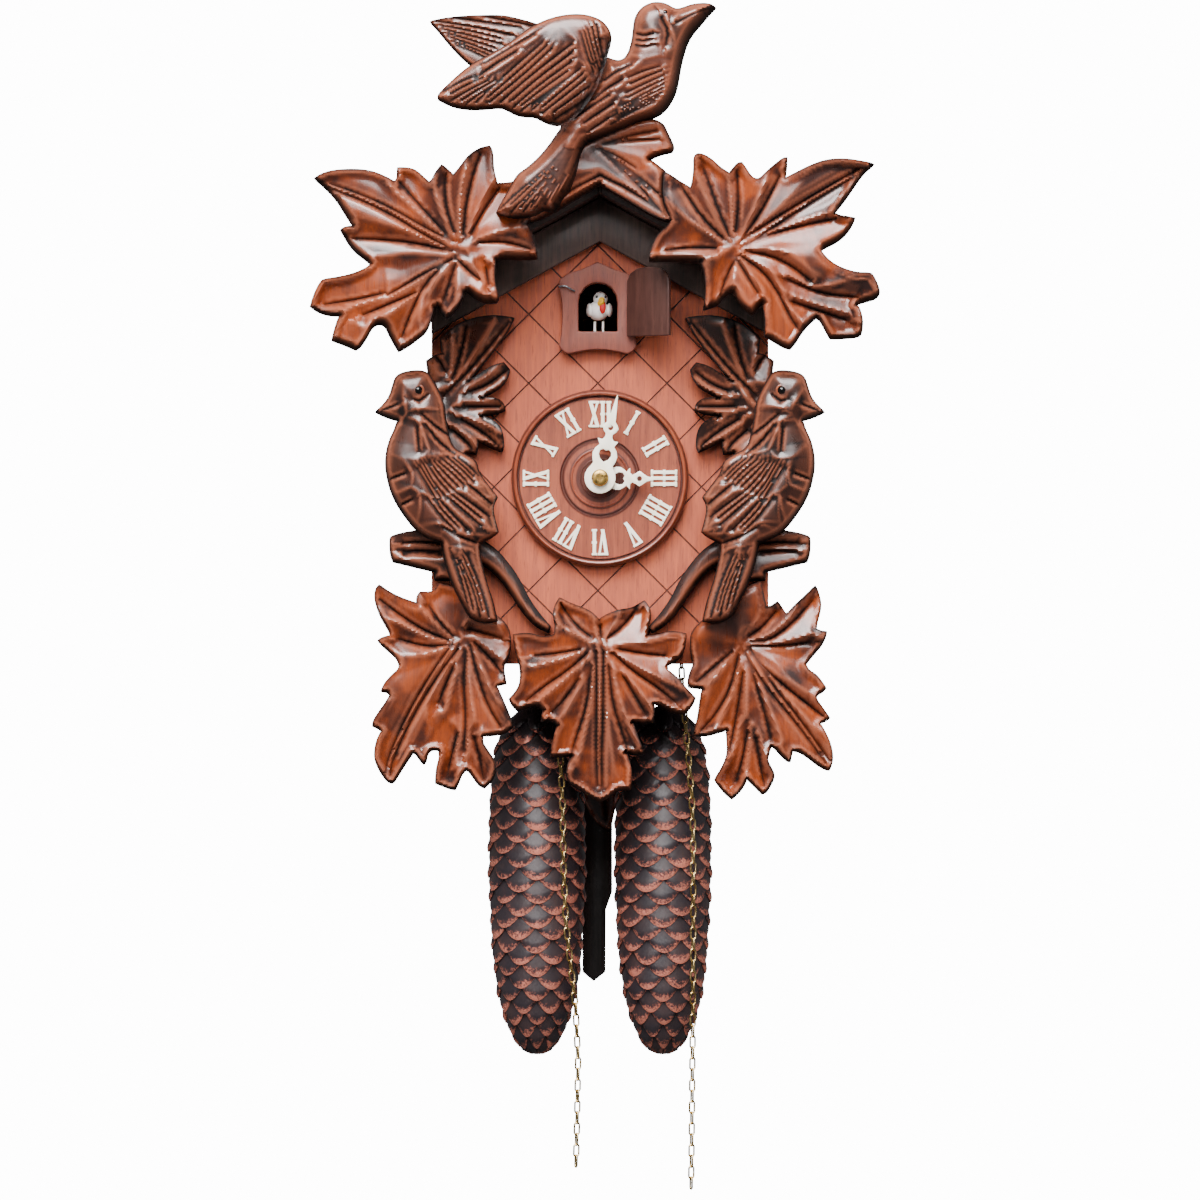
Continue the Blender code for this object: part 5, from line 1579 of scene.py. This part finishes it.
def scale_points(axis, root, middle, long, lift):
    """One scale's points and their copper with its painted highlight, row by row from its root to its
    tucked lip.
    """
    half = math.pi / SCALES_ROUND * 1.2
    verts, lips = [], []
    for j in range(SCALE_LONG + 2):
        tucked = j > SCALE_LONG
        b = min(j, SCALE_LONG) / SCALE_LONG
        for i in range(ACROSS):
            a = (i - SCALE_WIDE) / SCALE_WIDE
            reach = long * (1.0 - 0.55 * abs(a) ** 1.9)
            z = max(root - reach * b, CORE_FOOT + 0.3)
            swell = lift * (0.2 + 0.8 * b ** 1.2) * (1.0 - 0.5 * a * a) - 0.5
            swell -= 1.1 * max(0.0, (b - 0.8) / 0.2) ** 2
            radius = max(core_radius(z) + (-0.8 if tucked else swell), 0.3)
            z += 0.8 if tucked else 0.0
            verts.append(around_axis(axis, radius, middle + half * a * (1.0 - 0.1 * b), z))
            # Copper and painted highlight: most on the lower half and at the middle of the lip, fading out
            # near the cone's top.
            copper_and_highlight = max(0.0, b - 0.5) / 0.5 * (1.0 - 0.55 * a * a)
            copper_and_highlight *= min(1.0, max(0.0, (CORE_TOP - 4.0 - z) / 10.0))
            lips.append(0.0 if tucked else copper_and_highlight)
    return verts, lips


print("a scale has", ACROSS * (SCALE_LONG + 2), "points")


# %% [markdown]
# ## The fir cones
# The scale is repeated round every row, each row half a scale on from the last, and each scale
# with a small change of place, length and lift, as in a cast from a real cone. A wire hook at the
# top takes the chain.

# %% Fir cones
def cone(side):
    """One weight with its hook."""
    low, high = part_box("weight_" + side)
    axis = ((low.x + high.x) / 2.0 * 1000.0, (low.y + high.y) / 2.0 * 1000.0)
    chance = random.Random(7 if side == "time" else 11)
    verts, faces = cone_core(axis)
    lips = [0.0] * len(verts)
    for row in range(int((CORE_TOP - CORE_FOOT) / ROW_PITCH)):
        root = CORE_TOP + 1.0 - row * ROW_PITCH
        for scale in range(SCALES_ROUND):
            place = 2.0 * math.pi * (scale + 0.5 * (row % 2)) / SCALES_ROUND
            middle = place + chance.uniform(-0.03, 0.03)
            long = ROW_PITCH * 2.2 + chance.uniform(-0.4, 0.4)
            lift = 3.5 + chance.uniform(-0.3, 0.3)
            start = len(verts)
            points, copper = scale_points(axis, root, middle, long, lift)
            verts += points
            lips += copper
            for j in range(SCALE_LONG + 1):
                for i in range(ACROSS - 1):
                    corner = start + j * ACROSS + i
                    faces.append((corner, corner + ACROSS, corner + ACROSS + 1, corner + 1))
    mesh = bpy.data.meshes.new("cone_" + side)
    mesh.from_pydata(verts, [], faces)
    layer = mesh.attributes.new("lip", "FLOAT", "POINT")
    layer.data.foreach_set("value", lips)
    mesh.shade_smooth()
    mesh.set_sharp_from_angle(angle=math.radians(50.0))
    mesh.materials.append(CONE)
    piece = placed("cone_" + side, mesh)
    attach(piece, side + "_weight")
    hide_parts("weight_" + side)
    clean_start()
    bpy.ops.mesh.primitive_torus_add(major_radius=1.7 * MM, minor_radius=0.55 * MM, major_segments=20,
                                     minor_segments=8, location=at(*axis, -105.3),
                                     rotation=(math.radians(90.0), 0.0, 0.0))
    settle(f"cone_{side}_hook", STEEL, side + "_weight")
    print(piece.name, len(mesh.polygons), "faces")


cone("time")
cone("strike")


# %% [markdown]
# ## One link
# The chain is bent brass wire in oval links. One link is a small ring of points swept round an
# oval, with few points, because it is repeated hundreds of times.

# %% One link
LINK_PITCH = 5.05
LINK_LONG, LINK_WIDE, LINK_WIRE = 6.6, 3.5, 0.5


def link_ring(around=12, section=5):
    """Points of one link along z, with its flat side facing y."""
    rows = []
    straight = (LINK_LONG - LINK_WIDE) / 2.0
    bend = LINK_WIDE / 2.0 - LINK_WIRE
    aside = Vector((0.0, 1.0, 0.0))
    for step in range(around):
        turn = 2.0 * math.pi * (step + 0.5) / around
        out = Vector((math.cos(turn), 0.0, math.sin(turn)))
        centre = out * bend + Vector((0.0, 0.0, math.copysign(straight, out.z)))
        rows.append([centre + out * LINK_WIRE * math.cos(2.0 * math.pi * s / section)
                     + aside * LINK_WIRE * math.sin(2.0 * math.pi * s / section)
                     for s in range(section)])
    return rows


def link_faces(start, around, section):
    """The faces of one link whose points begin at start."""
    faces = []
    for i in range(around):
        a, b = start + i * section, start + (i + 1) % around * section
        for j in range(section):
            k = (j + 1) % section
            faces.append((a + j, b + j, b + k, a + k))
    return faces


print("a link has", len(link_faces(0, 12, 5)), "faces")


# %% [markdown]
# ## The chains
# Links are set one after another along the line that the chain hangs on, and each is turned a
# quarter from the last. The free runs hang in a slack curve beside the cones, and the runs that
# hold the cones are straight under their load.

# %% Chains
FREE_ROUTES = {
    "time": [(37.2, -72), (38.2, -94), (39.5, -112), (41.0, -128), (42.6, -146), (43.3, -165),
             (43.4, -200), (43.2, -250), (42.7, -300), (42.4, -330)],
    "strike": [(-18.9, -72), (-18.8, -100), (-18.4, -129), (-17.4, -150), (-17.0, -180), (-16.0, -205),
               (-13.8, -225), (-11.4, -245), (-10.2, -270), (-10.6, -295), (-11.2, -320)],
}


def chain(name, node, route, body):
    """Links along a route of (x, y, z) points in millimetres, from the top down."""
    line = [Vector(point) for point in route]
    verts, faces = [], []
    ring = link_ring()
    spare, count = LINK_LONG / 2.0, 0
    for one, two in zip(line, line[1:]):
        length = (two - one).length
        along = (one - two).normalized()
        while spare <= length:
            centre = one + (two - one) * (spare / length)
            frame_turn = along.to_track_quat("Z", "Y").to_matrix()
            turn = frame_turn @ Matrix.Rotation(math.radians(20.0 + 90.0 * (count % 2)), 3, "Z")
            start = len(verts)
            for row in ring:
                verts += [at(*(centre + turn @ spot)) for spot in row]
            faces += link_faces(start, len(ring), len(ring[0]))
            count += 1
            spare += LINK_PITCH
        spare -= length
    mesh = bpy.data.meshes.new(name)
    mesh.from_pydata(verts, [], faces)
    outward(mesh)
    mesh.shade_smooth()
    mesh.materials.append(LINK_BRASS)
    piece = placed(name, mesh)
    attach(piece, body)
    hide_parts(node)
    print(name, count, "links")


for side, route in FREE_ROUTES.items():
    low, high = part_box(f"chain_{side}_free")
    y = (low.y + high.y) * 500.0
    chain(f"links_{side}_free", f"chain_{side}_free", [(x, y, z) for x, z in route], side + "_chain")
    low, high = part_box(f"chain_{side}_weight")
    x, y = (low.x + high.x) * 500.0, (low.y + high.y) * 500.0
    top, foot = (high.z - DIAL_Z) * 1000.0, (low.z - DIAL_Z) * 1000.0
    chain(f"links_{side}_weight", f"chain_{side}_weight", [(x, y, top), (x, y, foot)], side + "_weight")

# %% [markdown]
# ## Pendulum and movement
# The parts behind the front keep the CAD's shapes and get their own finishes: brass plates and
# wheels, steel levers, and a black pendulum rod. Each CAD piece's slot says what it is made of.

# %% Pendulum and movement
eased("rod_pendulum", "pendulum_rod", 0.5, BLACK, body="pendulum")
INNER_FINISH = {
    "brass": BRASS, "steel": STEEL, "bellows_wood": RAW, "case_wood": CASE, "dark_wood": BLACK,
    "panel_wood": PANEL, "carved_wood": CARVED, "dial_wood": DIAL_WOOD, "ivory_plastic": IVORY,
    "bird_paint": WHITE, "weight_iron": CONE,
}
for node, piece in frame["nodes"].items():
    piece.data.materials.clear()
    piece.data.materials.append(INNER_FINISH[node_slot[node]])
print("finishes for", len(frame["nodes"]), "CAD pieces")

# %% [markdown]
# ## Bellows folds
# Each bellows is a wooden box with a hinged top and pleated cloth between. The pleats are thin ribs
# of cloth round the box, evenly spaced.

# %% Bellows folds
BELLOWS_X = 61.75
FOLD_PITCH = 7.0
RIB_SIZE = (0.0149, 0.0404, 0.0012)
for side, outer in SIDES.items():
    for fold in range(5):
        clean_start()
        place = at(outer * BELLOWS_X, -60.0, 30.0 + fold * FOLD_PITCH)
        bpy.ops.mesh.primitive_cube_add(size=1.0, location=place)
        bpy.context.object.scale = RIB_SIZE
        settle(f"bellows_{side}_fold_{fold + 1}", BELLOWS_CLOTH)
print("ten bellows folds")

# %% [markdown]
# ## Studio lights
# A large soft light from above gives the varnish its pale sheen, with a low wide one in front of
# it for the upright faces. Weaker lights from the sides and behind open the shadows, and they
# don't show in the varnish.

# %% Studio lights
def area_light(name, place, target, size, power, colour=(1.0, 1.0, 1.0)):
    """A rectangular light at a place, turned towards a target."""
    data = bpy.data.lights.new(name, "AREA")
    data.shape = "RECTANGLE"
    data.size, data.size_y = size
    data.energy = power
    data.color = colour
    lamp = placed(name, data)
    lamp.location = place
    lamp.visible_glossy = name in ("key", "sheen")
    lamp.rotation_euler = (Vector(target) - Vector(place)).to_track_quat("-Z", "Y").to_euler()


middle = (0.0, -0.1, DIAL_Z)
area_light("key", (-0.3, -1.45, 1.55), middle, (1.7, 1.1), 165.0, (1.0, 0.97, 0.97))
area_light("fill", (1.2, -1.9, 0.35), middle, (0.5, 0.9), 12.0)
area_light("front", (-1.2, -2.3, 0.1), middle, (0.5, 0.8), 12.0)
area_light("sheen", (-0.2, -2.6, 1.0), middle, (1.8, 0.45), 34.0, (1.0, 0.96, 0.97))
area_light("back", (0.9, 2.4, 1.3), middle, (1.4, 1.0), 40.0)
area_light("right", (2.2, 0.6, 0.7), middle, (1.0, 1.2), 24.0)
area_light("left", (-2.2, 0.6, 0.7), middle, (1.0, 1.2), 24.0)
print("seven lights")

# %% [markdown]
# ## Surround and floor
# The surround is plain white to the eye and gives only a weak even light. The pale floor is far
# below the hanging clock, and it glows a little so that it joins the surround without an edge.

# %% Surround and floor
world = bpy.data.worlds.new("studio")
world.use_nodes = True
air = world.node_tree
sky = air.nodes["Background"]
sky.inputs["Color"].default_value = (1.0, 1.0, 1.0, 1.0)
seen = add(air, "ShaderNodeLightPath").outputs["Is Camera Ray"]
air.links.new(band(air, seen, 0.0, 1.0, 0.16, 14.0), sky.inputs["Strength"])
bpy.context.scene.world = world
clean_start()
bpy.ops.mesh.primitive_plane_add(size=9.0, location=(0.0, 0.0, -1.3))
floor = bpy.context.object
floor.name = "floor"
floor.visible_glossy = False
floor.visible_diffuse = False
paper, tree, shader = shader_of("white paper")
shader.inputs["Base Color"].default_value = (0.95, 0.95, 0.95, 1.0)
shader.inputs["Roughness"].default_value = 0.9
shader.inputs["Emission Color"].default_value = (1.0, 1.0, 1.0, 1.0)
shader.inputs["Emission Strength"].default_value = 13.0
floor.data.materials.append(paper)
print("floor", floor.dimensions.x, "m wide")
